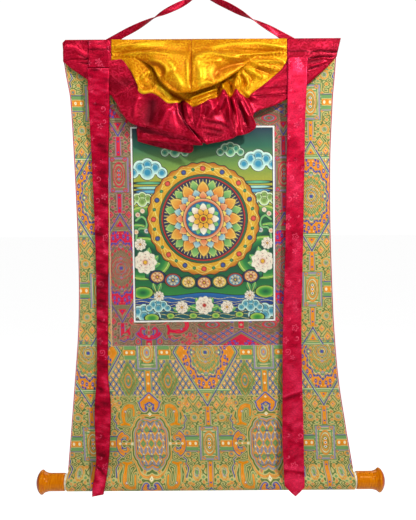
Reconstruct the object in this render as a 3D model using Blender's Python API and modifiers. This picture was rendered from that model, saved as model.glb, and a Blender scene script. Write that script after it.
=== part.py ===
"""A thangka: a painting sewn into brocade, with a sleeve and tape to hang it by, a roller with
turned knobs, two ribbons, and a silk cover gathered up in a swag over its top.

Metres, +Z up, the front faces -Y. The origin is the point that the hanging tape hangs from.
The tables are in millimetres: x and z are the object's own, and "out" is the distance from
the wall, which stands WALL_Y behind the hanging point.
"""
import math
from collections import namedtuple

import bmesh
import bpy
from mathutils import Vector

MM = 0.001
WALL_Y = 9.0                 # the wall, behind the hanging point
GAP = 0.3                    # between pieces that touch
SEAM_INSET = 0.45            # each draped piece stops this far short of its seam

CLOTH = 1.6                  # brocade on its backing
SILK = 1.2
PIPING_WIDTH = 2.2
PIPING_THICK = 2.6

SLEEVE_TOP = -88.5
SLEEVE_BOTTOM = -119.0
SLEEVE_THICK = 8.0
SLEEVE_LEFT = -288.0
SLEEVE_RIGHT = 287.0
SLEEVE_SLANT = 8.5           # the right end leans in by this much
SLEEVE_CORNER = 6.0          # cut off the upper left corner
BORDER_WIDTH = 47.0
LOWER_SEAM = -726.0
SIDE_ROWS = 14               # faces down the side panels, and down to the casing below them
LOWER_ROWS = 8

ROLLER_OUT = 26.0
ROLLER_Z = -1017.4
ROLLER_RADIUS = 17.5
ROLLER_LEFT = -297.1
ROLLER_RIGHT = 322.1
CASING_RADIUS = 18.7         # to the middle of the cloth
CASING_LEFT = -293.0
CASING_RIGHT = 318.4
NECK_Z = -992.0              # the stitch line that closes the casing
KNOB_LENGTH = 61.0
KNOB_RADIUS = 19.0
KNOB_RIM = 26.0

TAPE_WIDTH = 14.0
TAPE_THICK = 1.8
TAPE_FOOT = 32.0             # its slanting ends are this wide where they meet the sleeve

Corner = namedtuple("Corner", "x z")
PAINTING = {
    "top_left": Corner(-150, -267),
    "top_right": Corner(150, -266),
    "bottom_left": Corner(-147, -676),
    "bottom_right": Corner(151, -674),
}

# the outer edges of the brocade, from the sleeve to the casing
Edge = namedtuple("Edge", "z left right")
OUTLINE = [
    Edge(-119, -287.0, 278.5),
    Edge(-139, -285.0, 277.5),
    Edge(-206, -274.0, 272.0),
    Edge(-328, -268.0, 267.0),
    Edge(-455, -264.0, 267.0),
    Edge(-595, -262.0, 271.0),
    Edge(-695, -265.0, 276.0),
    Edge(-805, -274.0, 286.0),
    Edge(-915, -284.0, 303.0),
    Edge(-992, -291.5, 316.5),
]

# the ribbons, as wide as they show; the left one's spare width is folded behind its right edge
Ribbon = namedtuple("Ribbon", "z left right out")
RIBBON_LEFT_WIDTH = 46.0
RIBBON_LEFT = [
    Ribbon(-149, -235, -189, 23),
    Ribbon(-190, -234, -190, 24),
    Ribbon(-233, -233, -191, 21),
    Ribbon(-329, -230, -195, 18),
    Ribbon(-522, -225, -198, 21),
    Ribbon(-691, -225, -201, 25),
    Ribbon(-790, -226, -202, 29),
    Ribbon(-852, -231, -197, 33),
    Ribbon(-923, -230, -199, 40),
    Ribbon(-963, -228, -201, 46),
    Ribbon(-999, -232, -206, 51),
    Ribbon(-1017, -236, -209, 52),
    Ribbon(-1034, -237, -213, 51),
]
RIBBON_RIGHT = [
    Ribbon(-128, 177, 218, 17),
    Ribbon(-165, 176, 216, 22.2),
    Ribbon(-205, 175, 214, 25),
    Ribbon(-255, 175, 212, 24),
    Ribbon(-338, 174, 211, 22),
    Ribbon(-525, 171, 208, 26),
    Ribbon(-693, 166, 205, 29),
    Ribbon(-820, 165, 207, 33),
    Ribbon(-923, 164, 209, 41),
    Ribbon(-988, 166, 209, 48.5),
    Ribbon(-1004, 167, 210, 49),
    Ribbon(-1020, 168, 210, 49),
]
TAB_LEFT = -233.0
TAB_RIGHT = -190.0
TAB_TOP = -90.0
TAB_BOTTOM = -147.0
TAB_TOP_OUT = 10.8
TAB_BOTTOM_OUT = 19.0

# the tape's middle line from one end to the other; twist turns it edge on at 90
Tape = namedtuple("Tape", "x z out twist")
TAPE = [
    Tape(-184, SLEEVE_TOP + GAP, 4.0, 0),
    Tape(-158, -74.5, 5.5, 12),
    Tape(-133, -62.5, 7.5, 45),
    Tape(-104, -48.0, 9.0, 90),
    Tape(-74, -33.0, 9.0, 150),
    Tape(-46, -20.0, 9.0, 168),
    Tape(-20, -8.0, 9.0, 120),
    Tape(-6, 0.0, 9.0, 92),
    Tape(0, 1.0, 9.0, 90),
    Tape(6, 0.0, 9.0, 88),
    Tape(22, -8.0, 9.0, 70),
    Tape(50, -20.0, 9.0, 35),
    Tape(75, -33.0, 9.0, 50),
    Tape(98, -45.5, 9.0, 90),
    Tape(120, -57.0, 8.0, 130),
    Tape(148, -71.5, 6.0, 165),
    Tape(178, SLEEVE_TOP + GAP, 4.0, 180),
]

# The cover. Each row follows one thread of the cloth down: it leaves the top, turns under at
# the lip, goes up behind to the tuck, comes down to the seam between its yellow and its red
# border, and ends at the hem. fold is 0 where the cloth hangs straight and 1 where it is
# fully turned under. Between two rows the cloth runs smoothly.
Fold = namedtuple(
    "Fold",
    "top_x lip_x lip_z lip_out tuck_x tuck_z seam_x seam_z seam_out hem_x hem_z hem_out fold",
)
COVER = [
    Fold(-187, -187, -121, 12, -164, -137, -126, -182, 20, -187, -204, 17, 0),
    Fold(-170, -168, -124, 13, -150, -134, -118, -189, 23, -176, -221, 20, 0),
    Fold(-152, -148, -128, 15, -138, -133, -110, -195, 26, -163, -244, 24, 0.3),
    Fold(-133, -125, -133, 19, -123, -125, -102, -199, 28, -147, -261, 28, 0.7),
    Fold(-113, -102, -147, 27, -106, -128, -93, -204, 30, -124, -269, 31, 1),
    Fold(-92, -87, -174, 37, -90, -137, -82, -213, 33, -99, -273, 35, 1),
    Fold(-72, -69, -193, 45, -71, -146, -69, -223, 36, -70, -283, 39, 1),
    Fold(-53, -52, -202, 49, -55, -151, -54, -226, 38, -43, -294, 42, 1),
    Fold(-44, -43, -203, 50, -47, -153, -48, -224, 30, -133, -294, 21, 1),
    Fold(-35, -35, -203, 50, -38, -153, -44, -219, 24, -31, -322, 16, 1),
    Fold(-28, -28, -202, 50, -30, -153, -40, -216, 30, -24, -305, 30, 1),
    Fold(-21, -21, -202, 50, -22, -153, -35, -218, 37, -13, -308, 35, 1),
    Fold(-10, -10, -199, 50, -12, -151, -27, -225, 40, -4, -308, 38, 1),
    Fold(5, 4, -194, 48, 2, -149, -17, -231, 44, 4, -304, 38, 1),
    Fold(21, 20, -189, 46, 17, -145, -2, -225, 42, 16, -305, 32, 1),
    Fold(36, 35, -182, 43, 31, -141, 15, -215, 37, 38, -301, 35, 1),
    Fold(50, 49, -174, 39, 45, -136, 30, -210, 26, 61, -295, 41, 1),
    Fold(62, 61, -166, 35, 58, -132, 44, -195, 35, 71, -290, 45, 1),
    Fold(75, 74, -157, 31, 68, -127, 58, -209, 24, 83, -287, 32, 1),
    Fold(88, 87, -145, 26, 80, -124, 69, -194, 33, 98, -282, 34, 0.8),
    Fold(102, 101, -134, 20, 93, -123, 79, -203, 28, 110, -270, 38, 0.5),
    Fold(124, 124, -127, 15, 114, -127, 86, -208, 27, 104, -249, 31, 0.2),
    Fold(149, 149, -124, 13, 136, -131, 91, -210.5, 26, 116, -237, 26, 0),
    Fold(164, 163, -122, 13, 153, -136, 95, -211.5, 25, 150, -226, 23, 0),
    Fold(176, 176, -124, 13, 168, -146, 97, -210, 24, 198, -201, 18, 0),
]
# the outer edge of each side border; its bottom corner is the hem's end
SIDE_LEFT = Fold(-287, -288, -125, 11, -272, -144, -187, -204, 17, 0, 0, 0, 0)
SIDE_RIGHT = Fold(287, 278, -126, 11, 260, -146, 198, -201, 18, 0, 0, 0, 0)
CENTRE_SEAM = 11             # the row of COVER where the two yellow widths are sewn together
COVER_TOP = -88.5
COVER_OUT = 9.2
TURN_RADIUS = 4.5            # of the cloth where it turns at the lip and at the tuck
SIDE_BULGE = 3.0             # of each side border between its edges
SEAM_STEP = 9                # the seam's and the hem's places among a row's control points
HEM_STEP = 11

# soft ridges (height above 0) and troughs along straight lines, worked into the cover
Crease = namedtuple("Crease", "x0 z0 x1 z1 height width")
FRONT_CREASES = [
    Crease(-116, -133, -84, -150, -5, 9),
    Crease(-84, -148, -82, -178, -5, 7),
    Crease(-165, -104, -20, -118, 3, 9),
    Crease(-12, -134, 58, -126, 4, 8),
    Crease(-10, -146, 50, -136, -3, 7),
    Crease(10, -112, 150, -104, 3, 9),
]
LOWER_CREASES = [
    Crease(100, -140, 166, -154, 5, 7),
    Crease(104, -150, 150, -168, -4, 7),
    Crease(92, -146, 126, -168, 4, 6),
    Crease(-130, -152, -110, -148, 5, 6),
    Crease(78, -215, 96, -276, -9, 10),
    Crease(-40, -246, -4, -300, -5, 7),
    Crease(2, -258, 66, -276, 5, 8),
    Crease(-186, -196, -128, -178, 2, 8),
]


def position(x, z, out):
    """Millimetres to a point in metres."""
    return Vector((x, WALL_Y - out, z)) * MM


def blend(a, b, t):
    return a + (b - a) * t


def ease(t):
    t = min(1.0, max(0.0, t))
    return t * t * (3 - 2 * t)


def spline(values, t):
    """A smooth curve through values, one for each whole step of t."""
    last = len(values) - 1
    i = min(int(t), last - 1)
    f = t - i
    b, c = values[i], values[i + 1]
    a = values[i - 1] if i > 0 else b * 2 - c
    d = values[i + 2] if i + 2 <= last else c * 2 - b
    return (b * 2 + (c - a) * f + (a * 2 - b * 5 + c * 4 - d) * f * f
            + (b * 3 - a - c * 3 + d) * f * f * f) * 0.5


def read_table(rows, z):
    """A row of a table with falling z, at any z: smooth between its rows."""
    rows_z = [row.z for row in rows]
    i = 0
    while i < len(rows) - 2 and z < rows_z[i + 1]:
        i += 1
    t = i + (z - rows_z[i]) / (rows_z[i + 1] - rows_z[i])
    t = min(max(t, 0.0), len(rows) - 1.0)
    return [spline([row[k] for row in rows], t) for k in range(1, len(rows[0]))]


# materials

def make_material(name, colour, roughness, sheen=0.0):
    material = bpy.data.materials.new(name)
    material.use_nodes = True
    shader = material.node_tree.nodes["Principled BSDF"]
    shader.inputs["Base Color"].default_value = (*colour, 1.0)
    shader.inputs["Roughness"].default_value = roughness
    shader.inputs["Metallic"].default_value = 0.0
    shader.inputs["Sheen Weight"].default_value = sheen
    material.diffuse_color = (*colour, 1.0)
    return material


def make_materials():
    return {
        "green": make_material("green_brocade", (0.36, 0.37, 0.14), 0.6, 0.2),
        "crimson": make_material("crimson_brocade", (0.36, 0.12, 0.12), 0.6, 0.2),
        "painting": make_material("painted_canvas", (0.30, 0.42, 0.22), 0.7),
        "yellow": make_material("yellow_silk", (0.86, 0.50, 0.02), 0.35, 0.3),
        "red": make_material("red_silk", (0.56, 0.01, 0.05), 0.4, 0.3),
        "ribbon": make_material("ribbon_silk", (0.60, 0.01, 0.06), 0.45, 0.3),
        "cord": make_material("gold_piping", (0.78, 0.50, 0.08), 0.5),
        "roller": make_material("roller_wood", (0.80, 0.76, 0.66), 0.6),
        "lacquer": make_material("amber_lacquer", (0.75, 0.26, 0.02), 0.15),
    }


# helpers that make objects

def add_object(name, data, collection, material):
    made = bpy.data.objects.new(name, data)
    made.data.materials.append(material)
    collection.objects.link(made)
    return made


def smooth(mesh, degrees=40):
    mesh.shade_smooth()
    mesh.set_sharp_from_angle(angle=math.radians(degrees))


def draw_in(grid, inset):
    """Move the grid's rim inwards along the sheet, square to itself, for the gap at its seams."""
    def shift(edge, inner):
        moved = []
        for i, (point, within) in enumerate(zip(edge, inner)):
            run = (edge[min(i + 1, len(edge) - 1)] - edge[max(i - 1, 0)]).normalized()
            inward = within - point
            inward -= run * inward.dot(run)
            moved.append(point + inward.normalized() * inset)
        return moved

    grid[0], grid[-1] = shift(grid[0], grid[1]), shift(grid[-1], grid[-2])
    columns = [list(column) for column in zip(*grid)]
    first, last = shift(columns[0], columns[1]), shift(columns[-1], columns[-2])
    for row, left, right in zip(grid, first, last):
        row[0], row[-1] = left, right


def sheet(name, columns, rows, place, thick, collection, material, inset=0.0):
    """Cloth of an even thickness on the surface place(u, v), with v running down."""
    grid = [
        [place(i / columns, j / rows) for i in range(columns + 1)]
        for j in range(rows + 1)
    ]
    if inset:
        draw_in(grid, inset * MM)
    bm = bmesh.new()
    bmesh.ops.create_grid(bm, x_segments=columns, y_segments=rows, size=1.0)
    for vert in bm.verts:
        i = round((vert.co.x + 1) / 2 * columns)
        j = round((1 - vert.co.y) / 2 * rows)
        vert.co = grid[j][i]
    mesh = bpy.data.meshes.new(name)
    bm.to_mesh(mesh)
    bm.free()
    smooth(mesh)
    made = add_object(name, mesh, collection, material)
    solidify = made.modifiers.new("thickness", "SOLIDIFY")
    solidify.thickness = thick * MM
    solidify.offset = 0.0
    return made


# the brocade and the painting hang on one gently waving surface

def hang_out(x, z):
    """How far from the wall the middle of the hanging cloth is."""
    down = min(1.0, max(0.0, (SLEEVE_BOTTOM - z) / (SLEEVE_BOTTOM - NECK_Z)))
    plumb = blend(SLEEVE_THICK / 2, ROLLER_OUT, down)
    free = 4 * down * (1 - down)
    wave = 1.6 * math.sin(x / 52 + 0.6) + 0.9 * math.sin(z / 90 + x / 130)
    return plumb + wave * free


def hung(x, z):
    return position(x, z, hang_out(x, z))


def outline_at(z):
    return read_table(OUTLINE, max(z, NECK_Z))


def side(corner_a, corner_b, z):
    """x on the straight line between two corners, run on past its ends."""
    return blend(corner_a.x, corner_b.x, (z - corner_a.z) / (corner_b.z - corner_a.z))


def border_outer(sign, z):
    """The outer edge of the inner border: sign is -1 on the left and 1 on the right."""
    if sign < 0:
        return side(PAINTING["top_left"], PAINTING["bottom_left"], z) - BORDER_WIDTH
    return side(PAINTING["top_right"], PAINTING["bottom_right"], z) + BORDER_WIDTH


def border_top():
    return PAINTING["top_left"].z + BORDER_WIDTH


def build_painting(collection, material):
    corners = PAINTING

    def place(u, v):
        top_x = blend(corners["top_left"].x, corners["top_right"].x, u)
        top_z = blend(corners["top_left"].z, corners["top_right"].z, u)
        bottom_x = blend(corners["bottom_left"].x, corners["bottom_right"].x, u)
        bottom_z = blend(corners["bottom_left"].z, corners["bottom_right"].z, u)
        return hung(blend(top_x, bottom_x, v), blend(top_z, bottom_z, v))

    sheet("painting", 8, 10, place, CLOTH, collection, material, GAP / 2)


def build_inner_border(collection, material):
    """Four strips with mitred corners round the painting."""
    top, bottom = border_top(), LOWER_SEAM + GAP / 2
    outer = {
        "top_left": Corner(border_outer(-1, top), top),
        "top_right": Corner(border_outer(1, top), top),
        "bottom_left": Corner(border_outer(-1, bottom), bottom),
        "bottom_right": Corner(border_outer(1, bottom), bottom),
    }
    strips = {
        "border_top": ("top_left", "top_right"),
        "border_right": ("top_right", "bottom_right"),
        "border_bottom": ("bottom_right", "bottom_left"),
        "border_left": ("bottom_left", "top_left"),
    }
    for name, (start, end) in strips.items():
        def place(u, v, start=start, end=end):
            far_x = blend(outer[start].x, outer[end].x, u)
            far_z = blend(outer[start].z, outer[end].z, u)
            near_x = blend(PAINTING[start].x, PAINTING[end].x, u)
            near_z = blend(PAINTING[start].z, PAINTING[end].z, u)
            return hung(blend(far_x, near_x, v), blend(far_z, near_z, v))

        sheet(name, 10, 2, place, CLOTH, collection, material, GAP / 2)


def even_steps(start, end, count):
    return [blend(start, end, i / count) for i in range(count + 1)]


def build_panels(collection, material):
    """The plain top panel behind the cover, and the two side panels."""
    top = SLEEVE_BOTTOM
    seam_width = PIPING_WIDTH + GAP

    def place_top(u, v):
        z = blend(top, border_top(), v)
        return hung(blend(border_outer(-1, z), border_outer(1, z), u), z)

    def place_left(u, v):
        z = blend(top, LOWER_SEAM, v)
        outer = outline_at(z)[0] + seam_width
        return hung(blend(outer, border_outer(-1, z) - seam_width, u), z)

    def place_right(u, v):
        z = blend(top, LOWER_SEAM, v)
        outer = outline_at(z)[1] - seam_width
        return hung(blend(border_outer(1, z) + seam_width, outer, u), z)

    sheet("top_panel", 8, 3, place_top, CLOTH, collection, material, GAP / 2)
    sheet("side_panel_left", 3, SIDE_ROWS, place_left, CLOTH, collection, material, GAP / 2)
    sheet("side_panel_right", 3, SIDE_ROWS, place_right, CLOTH, collection, material, GAP / 2)


def casing_section():
    """(z, out) down the lower panel: the hanging cloth, then once round the roller."""
    turn_steps = 15
    section = [(z, None) for z in even_steps(LOWER_SEAM, NECK_Z, LOWER_ROWS)]
    half = math.acos(CASING_RADIUS / (NECK_Z - ROLLER_Z))
    for i in range(turn_steps + 1):
        angle = half + (2 * math.pi - 2 * half) * i / turn_steps
        section.append((
            ROLLER_Z + CASING_RADIUS * math.cos(angle),
            ROLLER_OUT + CASING_RADIUS * math.sin(angle),
        ))
    section.append((NECK_Z - 2.5, ROLLER_OUT - 2.6))
    return section


def build_lower_panel(collection, material):
    section = casing_section()
    rows = len(section) - 1
    seam_width = PIPING_WIDTH + GAP

    def place(u, v):
        z, out = section[round(v * rows)]
        left, right = outline_at(z)
        left, right = left + seam_width, right - seam_width
        if out is None:
            return hung(blend(left, right, u), z)
        return position(blend(CASING_LEFT, CASING_RIGHT, u), z, out)

    sheet("lower_panel", 10, rows, place, CLOTH, collection, material, GAP / 2)


def build_pipings(red, gold, collection):
    """The thin piping beside the inner border and down both outer edges."""
    def strip(name, steps, left_of, material):
        def place(u, v):
            z = steps[round(v * (len(steps) - 1))]
            return hung(left_of(z) + u * PIPING_WIDTH, z)

        sheet(name, 1, len(steps) - 1, place, PIPING_THICK, collection, material, GAP / 2)

    near = GAP / 2 + PIPING_WIDTH
    upper = even_steps(SLEEVE_BOTTOM, LOWER_SEAM, SIDE_ROWS)
    whole = upper + even_steps(LOWER_SEAM, NECK_Z, LOWER_ROWS)[1:]
    strip("piping_left", upper, lambda z: border_outer(-1, z) - near, gold)
    strip("piping_right", upper, lambda z: border_outer(1, z) + GAP / 2, gold)
    strip("edge_piping_left", whole, lambda z: outline_at(z)[0], red)
    strip("edge_piping_right", whole, lambda z: outline_at(z)[1] - PIPING_WIDTH, red)


def build_sleeve(collection, material):
    """The sleeve with its batten inside: flat at the back, against the wall."""
    outline = [
        (SLEEVE_LEFT, SLEEVE_TOP - SLEEVE_CORNER),
        (SLEEVE_LEFT + SLEEVE_CORNER, SLEEVE_TOP),
        (SLEEVE_RIGHT, SLEEVE_TOP),
        (SLEEVE_RIGHT - SLEEVE_SLANT, SLEEVE_BOTTOM),
        (SLEEVE_LEFT + 2, SLEEVE_BOTTOM),
    ]
    rounding = 1.5
    curve = bpy.data.curves.new("batten_sleeve", "CURVE")
    curve.dimensions = "2D"
    curve.fill_mode = "BOTH"
    curve.extrude = (SLEEVE_THICK / 2 - rounding) * MM
    curve.bevel_depth = rounding * MM
    curve.bevel_resolution = 1
    curve.offset = -rounding * MM
    line = curve.splines.new("POLY")
    line.points.add(len(outline) - 1)
    for point, (x, z) in zip(line.points, outline):
        point.co = (x * MM, z * MM, 0, 1)
    line.use_cyclic_u = True
    made = add_object("batten_sleeve", curve, collection, material)
    made.rotation_euler = (math.radians(90), 0, 0)
    made.location = position(0, 0, SLEEVE_THICK / 2)


# the roller and its knobs

def build_roller(wood, lacquer, collection):
    length = ROLLER_RIGHT - ROLLER_LEFT
    bm = bmesh.new()
    bmesh.ops.create_cone(
        bm, cap_ends=True, segments=24, depth=length * MM,
        radius1=ROLLER_RADIUS * MM, radius2=ROLLER_RADIUS * MM,
    )
    mesh = bpy.data.meshes.new("roller")
    bm.to_mesh(mesh)
    bm.free()
    smooth(mesh)
    roller = add_object("roller", mesh, collection, wood)
    roller.rotation_euler = (0, math.radians(90), 0)
    roller.location = position((ROLLER_LEFT + ROLLER_RIGHT) / 2, ROLLER_Z, ROLLER_OUT)
    build_knob("knob_left", ROLLER_LEFT - GAP, -1, collection, lacquer)
    build_knob("knob_right", ROLLER_RIGHT + GAP, 1, collection, lacquer)


def knob_profile():
    """(radius, distance from the roller) from the domed end to the roller."""
    return [
        (0, KNOB_LENGTH),
        (8, KNOB_LENGTH - 0.8),
        (15, KNOB_LENGTH - 2.8),
        (21, KNOB_LENGTH - 6.0),
        (KNOB_RIM - 1.2, KNOB_LENGTH - 9.5),
        (KNOB_RIM, KNOB_LENGTH - 12.0),
        (KNOB_RIM - 1.0, KNOB_LENGTH - 14.5),
        (KNOB_RIM - 4.0, KNOB_LENGTH - 18.0),
        (KNOB_RADIUS + 0.6, KNOB_LENGTH - 24.0),
        (KNOB_RADIUS, KNOB_LENGTH - 29.0),
        (KNOB_RADIUS, 2.0),
        (KNOB_RADIUS - 0.8, 0),
        (0, 0),
    ]


def build_knob(name, start_x, sign, collection, material):
    """Turned about its own Z axis, then laid along the roller with its dome outwards."""
    profile = knob_profile()
    mesh = bpy.data.meshes.new(name)
    mesh.from_pydata(
        [(radius * MM, 0, along * MM) for radius, along in profile],
        [(i, i + 1) for i in range(len(profile) - 1)], [],
    )
    knob = add_object(name, mesh, collection, material)
    screw = knob.modifiers.new("turned", "SCREW")
    screw.steps = 24
    screw.render_steps = 24
    screw.use_merge_vertices = True
    screw.merge_threshold = 0.00005
    screw.use_smooth_shade = True
    knob.rotation_euler = (0, math.radians(90) * sign, 0)
    knob.location = position(start_x, ROLLER_Z, ROLLER_OUT)


# the hanging tape

def build_tape(collection, material):
    """One tape over the hanging point, twisted on both sides of it."""
    steps = 3 * (len(TAPE) - 1)
    middle = [Vector((row.x, WALL_Y - row.out, row.z)) for row in TAPE]
    twists = [row.twist for row in TAPE]

    def place(u, v):
        t = v * (len(TAPE) - 1)
        here = spline(middle, t)
        ahead = spline(middle, min(t + 0.05, len(TAPE) - 1))
        behind = spline(middle, max(t - 0.05, 0))
        run = (ahead - behind).normalized()
        across = run.cross(Vector((0, 1, 0))).normalized()
        deep = run.cross(across).normalized()
        angle = math.radians(spline(twists, t))
        wide = (across * math.cos(angle) + deep * math.sin(angle)) * TAPE_WIDTH
        level = Vector((-TAPE_FOOT, 0, 0))
        wide = wide.lerp(level, ease(1 - min(t, len(TAPE) - 1 - t) / 0.8))
        return (here + wide * (u - 0.5)) * MM

    sheet("hanging_tape", 2, steps, place, TAPE_THICK, collection, material)


# the ribbons

def ribbon_end(z, u, v, tip):
    """The ribbon's last stretch is drawn down to the shape of its end."""
    return z + tip(u) * ease((v - 0.94) / 0.06)


def build_ribbons(collection, material):
    turn = 1.9

    def left(u, v):
        z = blend(RIBBON_LEFT[0].z, RIBBON_LEFT[-1].z, v)
        near, far, out = read_table(RIBBON_LEFT, z)
        along = u * RIBBON_LEFT_WIDTH
        flat = far - near - turn
        angle = min(max(0.0, along - flat) / turn, math.pi)
        behind = max(0.0, along - flat - math.pi * turn)
        x = near + min(along, flat) + turn * math.sin(angle) - behind
        z = ribbon_end(z, u, v, lambda at: blend(-6.0, 3.0, at))
        return position(x, z, out - turn * (1 - math.cos(angle)))

    def right(u, v):
        z = blend(RIBBON_RIGHT[0].z, RIBBON_RIGHT[-1].z, v)
        near, far, out = read_table(RIBBON_RIGHT, z)
        z = ribbon_end(z, u, v, lambda at: -18.0 * (1 - abs(at - 0.55) / 0.55))
        return position(blend(near, far, u), z, out)

    sheet("ribbon_left", 9, 24, left, SILK, collection, material)
    sheet("ribbon_right", 4, 24, right, SILK, collection, material)

    def tab(u, v):
        out = blend(TAB_TOP_OUT, TAB_BOTTOM_OUT, v) + 0.8 * math.sin(math.pi * v)
        return position(blend(TAB_LEFT, TAB_RIGHT, u), blend(TAB_TOP, TAB_BOTTOM, v), out)

    sheet("ribbon_tab", 3, 4, tab, SILK, collection, material)


# the cover

def controls(row):
    """A row of the cover as control points (x, z, out), from its top to its hem."""
    turn = row.fold * min(TURN_RADIUS, (row.lip_out - 10) / 4)
    point = Vector
    top = point((row.top_x, COVER_TOP, COVER_OUT))
    lip = point((row.lip_x, row.lip_z, row.lip_out))
    tuck = point((row.tuck_x, row.tuck_z, blend(row.lip_out, row.seam_out, 0.3)))
    seam = point((row.seam_x, row.seam_z, row.seam_out))
    hem = point((row.hem_x, row.hem_z, row.hem_out))
    rise = 1.3 * turn
    belly = top.lerp(lip, 0.5) + point((0, 0, 0.2 * (row.lip_out - COVER_OUT)))
    folded = [
        top,
        belly,
        point((row.lip_x, row.lip_z + rise, row.lip_out)),
        point((row.lip_x, row.lip_z, row.lip_out - turn)),
        point((row.lip_x, row.lip_z + rise, row.lip_out - 2 * turn)),
        point((row.tuck_x, row.tuck_z - rise, row.lip_out - 2 * turn - 1.2)),
        point((row.tuck_x, row.tuck_z, row.lip_out - 3 * turn - 1.2)),
        point((row.tuck_x, row.tuck_z - rise, row.lip_out - 4 * turn - 1.2)),
        point((
            blend(row.tuck_x, row.seam_x, 0.6), blend(row.lip_z, row.seam_z, 0.1),
            row.lip_out - 4 * turn - 1.2,
        )),
        seam,
    ]
    straight = [
        top, top.lerp(lip, 0.5), top.lerp(lip, 0.85), lip,
        lip.lerp(tuck, 0.3), lip.lerp(tuck, 0.55), lip.lerp(tuck, 0.8), tuck,
        tuck.lerp(seam, 0.5), seam,
    ]
    path = [a.lerp(b, row.fold) for a, b in zip(straight, folded)]
    middle = seam.lerp(hem, 0.5)
    return path + [middle, hem]


def crease_height(creases, x, z):
    total = 0.0
    for crease in creases:
        run_x, run_z = crease.x1 - crease.x0, crease.z1 - crease.z0
        long = run_x * run_x + run_z * run_z
        along = ((x - crease.x0) * run_x + (z - crease.z0) * run_z) / long
        held = min(1.0, max(0.0, along))
        away = math.hypot(x - crease.x0 - held * run_x, z - crease.z0 - held * run_z)
        total += crease.height * math.exp(-(away / crease.width) ** 2)
    return total


COVER_PATHS = [controls(row) for row in COVER]


def cover_at(u, v):
    """The cover in millimetres: u counts the rows of COVER, v their control points."""
    path = [spline([row[k] for row in COVER_PATHS], u) for k in range(HEM_STEP + 1)]
    if v <= SEAM_STEP:
        here = spline(path, v)
    else:
        fold = min(1.0, max(0.0, spline([row.fold for row in COVER], u)))
        k = min(int(v), HEM_STEP - 1)
        here = path[k].lerp(path[k + 1], v - k).lerp(spline(path, v), fold)
    front = ease(v / 0.8) * (1 - ease((v - 2.0) / 1.5))
    lower = ease((v - 7.0) / 1.2) * (1 - 0.5 * ease((v - 10.4) / 0.6))
    here.z += front * crease_height(FRONT_CREASES, here.x, here.y)
    here.z += lower * crease_height(LOWER_CREASES, here.x, here.y)
    return here


def cover_place(here):
    return position(here.x, here.y, here.z)


def spread(start, end, spacing, step):
    """Places between two rows of COVER, closer where the cloth at that step runs further."""
    places = [start]
    for i in range(start, end):
        count = max(1, round((cover_at(i + 1, step) - cover_at(i, step)).length / spacing))
        places += [i + k / count for k in range(1, count + 1)]
    return places


def seam_at(u):
    """The seam between the yellow and the hem: straight between the yellow's columns."""
    after = next(i for i, place in enumerate(YELLOW_COLUMNS) if place >= u and i > 0)
    low, high = YELLOW_COLUMNS[after - 1], YELLOW_COLUMNS[after]
    return cover_at(low, SEAM_STEP).lerp(cover_at(high, SEAM_STEP), (u - low) / (high - low))


def nearest_row(rows, v):
    return rows[round(v * (len(rows) - 1))]


def build_cover_yellow(name, start, end, collection, material):
    columns = [place for place in YELLOW_COLUMNS if start <= place <= end]

    def place(u, v):
        return cover_place(cover_at(nearest_row(columns, u), nearest_row(COVER_STEPS, v)))

    sheet(name, len(columns) - 1, len(COVER_STEPS) - 1, place, SILK, collection, material,
          SEAM_INSET)


def build_cover_hem(collection, material):
    columns = sorted({*YELLOW_COLUMNS, *spread(0, len(COVER) - 1, 11.0, HEM_STEP)})

    def place(u, v):
        column, step = nearest_row(columns, u), nearest_row(HEM_STEPS, v)
        if step == SEAM_STEP:
            return cover_place(seam_at(column))
        return cover_place(cover_at(column, step))

    sheet("cover_hem", len(columns) - 1, len(HEM_STEPS) - 1, place, SILK, collection, material,
          SEAM_INSET)


def build_cover_side(name, outer_row, seam_u, collection, material):
    """A side border between its free outer edge and the yellow; it ends in the hem's mitre."""
    outer = controls(outer_row)[:SEAM_STEP + 1]

    def place(u, v):
        step = nearest_row(COVER_STEPS, v)
        mitre_step = nearest_row(HEM_STEPS, 1 - u if seam_u == 0 else u)
        u = (HEM_STEP - mitre_step) / (HEM_STEP - SEAM_STEP)
        here = spline(outer, step).lerp(cover_at(seam_u, step), u)
        mitre = cover_at(seam_u, mitre_step)
        straight = outer[-1].lerp(cover_at(seam_u, SEAM_STEP), u)
        here += (mitre - straight) * ease((step - 6) / 3)
        free = ease(step / 3) * (1 - ease((step - 7) / 2))
        here.z += SIDE_BULGE * math.sin(math.pi * u) * free
        return cover_place(here)

    sheet(name, len(HEM_STEPS) - 1, len(COVER_STEPS) - 1, place, SILK, collection, material,
          SEAM_INSET)


YELLOW_COLUMNS = spread(0, len(COVER) - 1, 9.0, 0)
COVER_STEPS = [0, 0.5, 1, 1.5, 2, 2.5, 3, 3.5, 4, 5, 5.5, 6, 6.5, 7, 7.5, 8, 8.5, 8.85, 9]
HEM_STEPS = [9, 9.15, 9.55, 10, 10.5, 11]


def build_cover(yellow, red, collection):
    last = len(COVER) - 1
    build_cover_yellow("cover_yellow_left", 0, CENTRE_SEAM, collection, yellow)
    build_cover_yellow("cover_yellow_right", CENTRE_SEAM, last, collection, yellow)
    build_cover_hem(collection, red)
    build_cover_side("cover_side_left", SIDE_LEFT, 0, collection, red)
    build_cover_side("cover_side_right", SIDE_RIGHT, last, collection, red)


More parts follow.
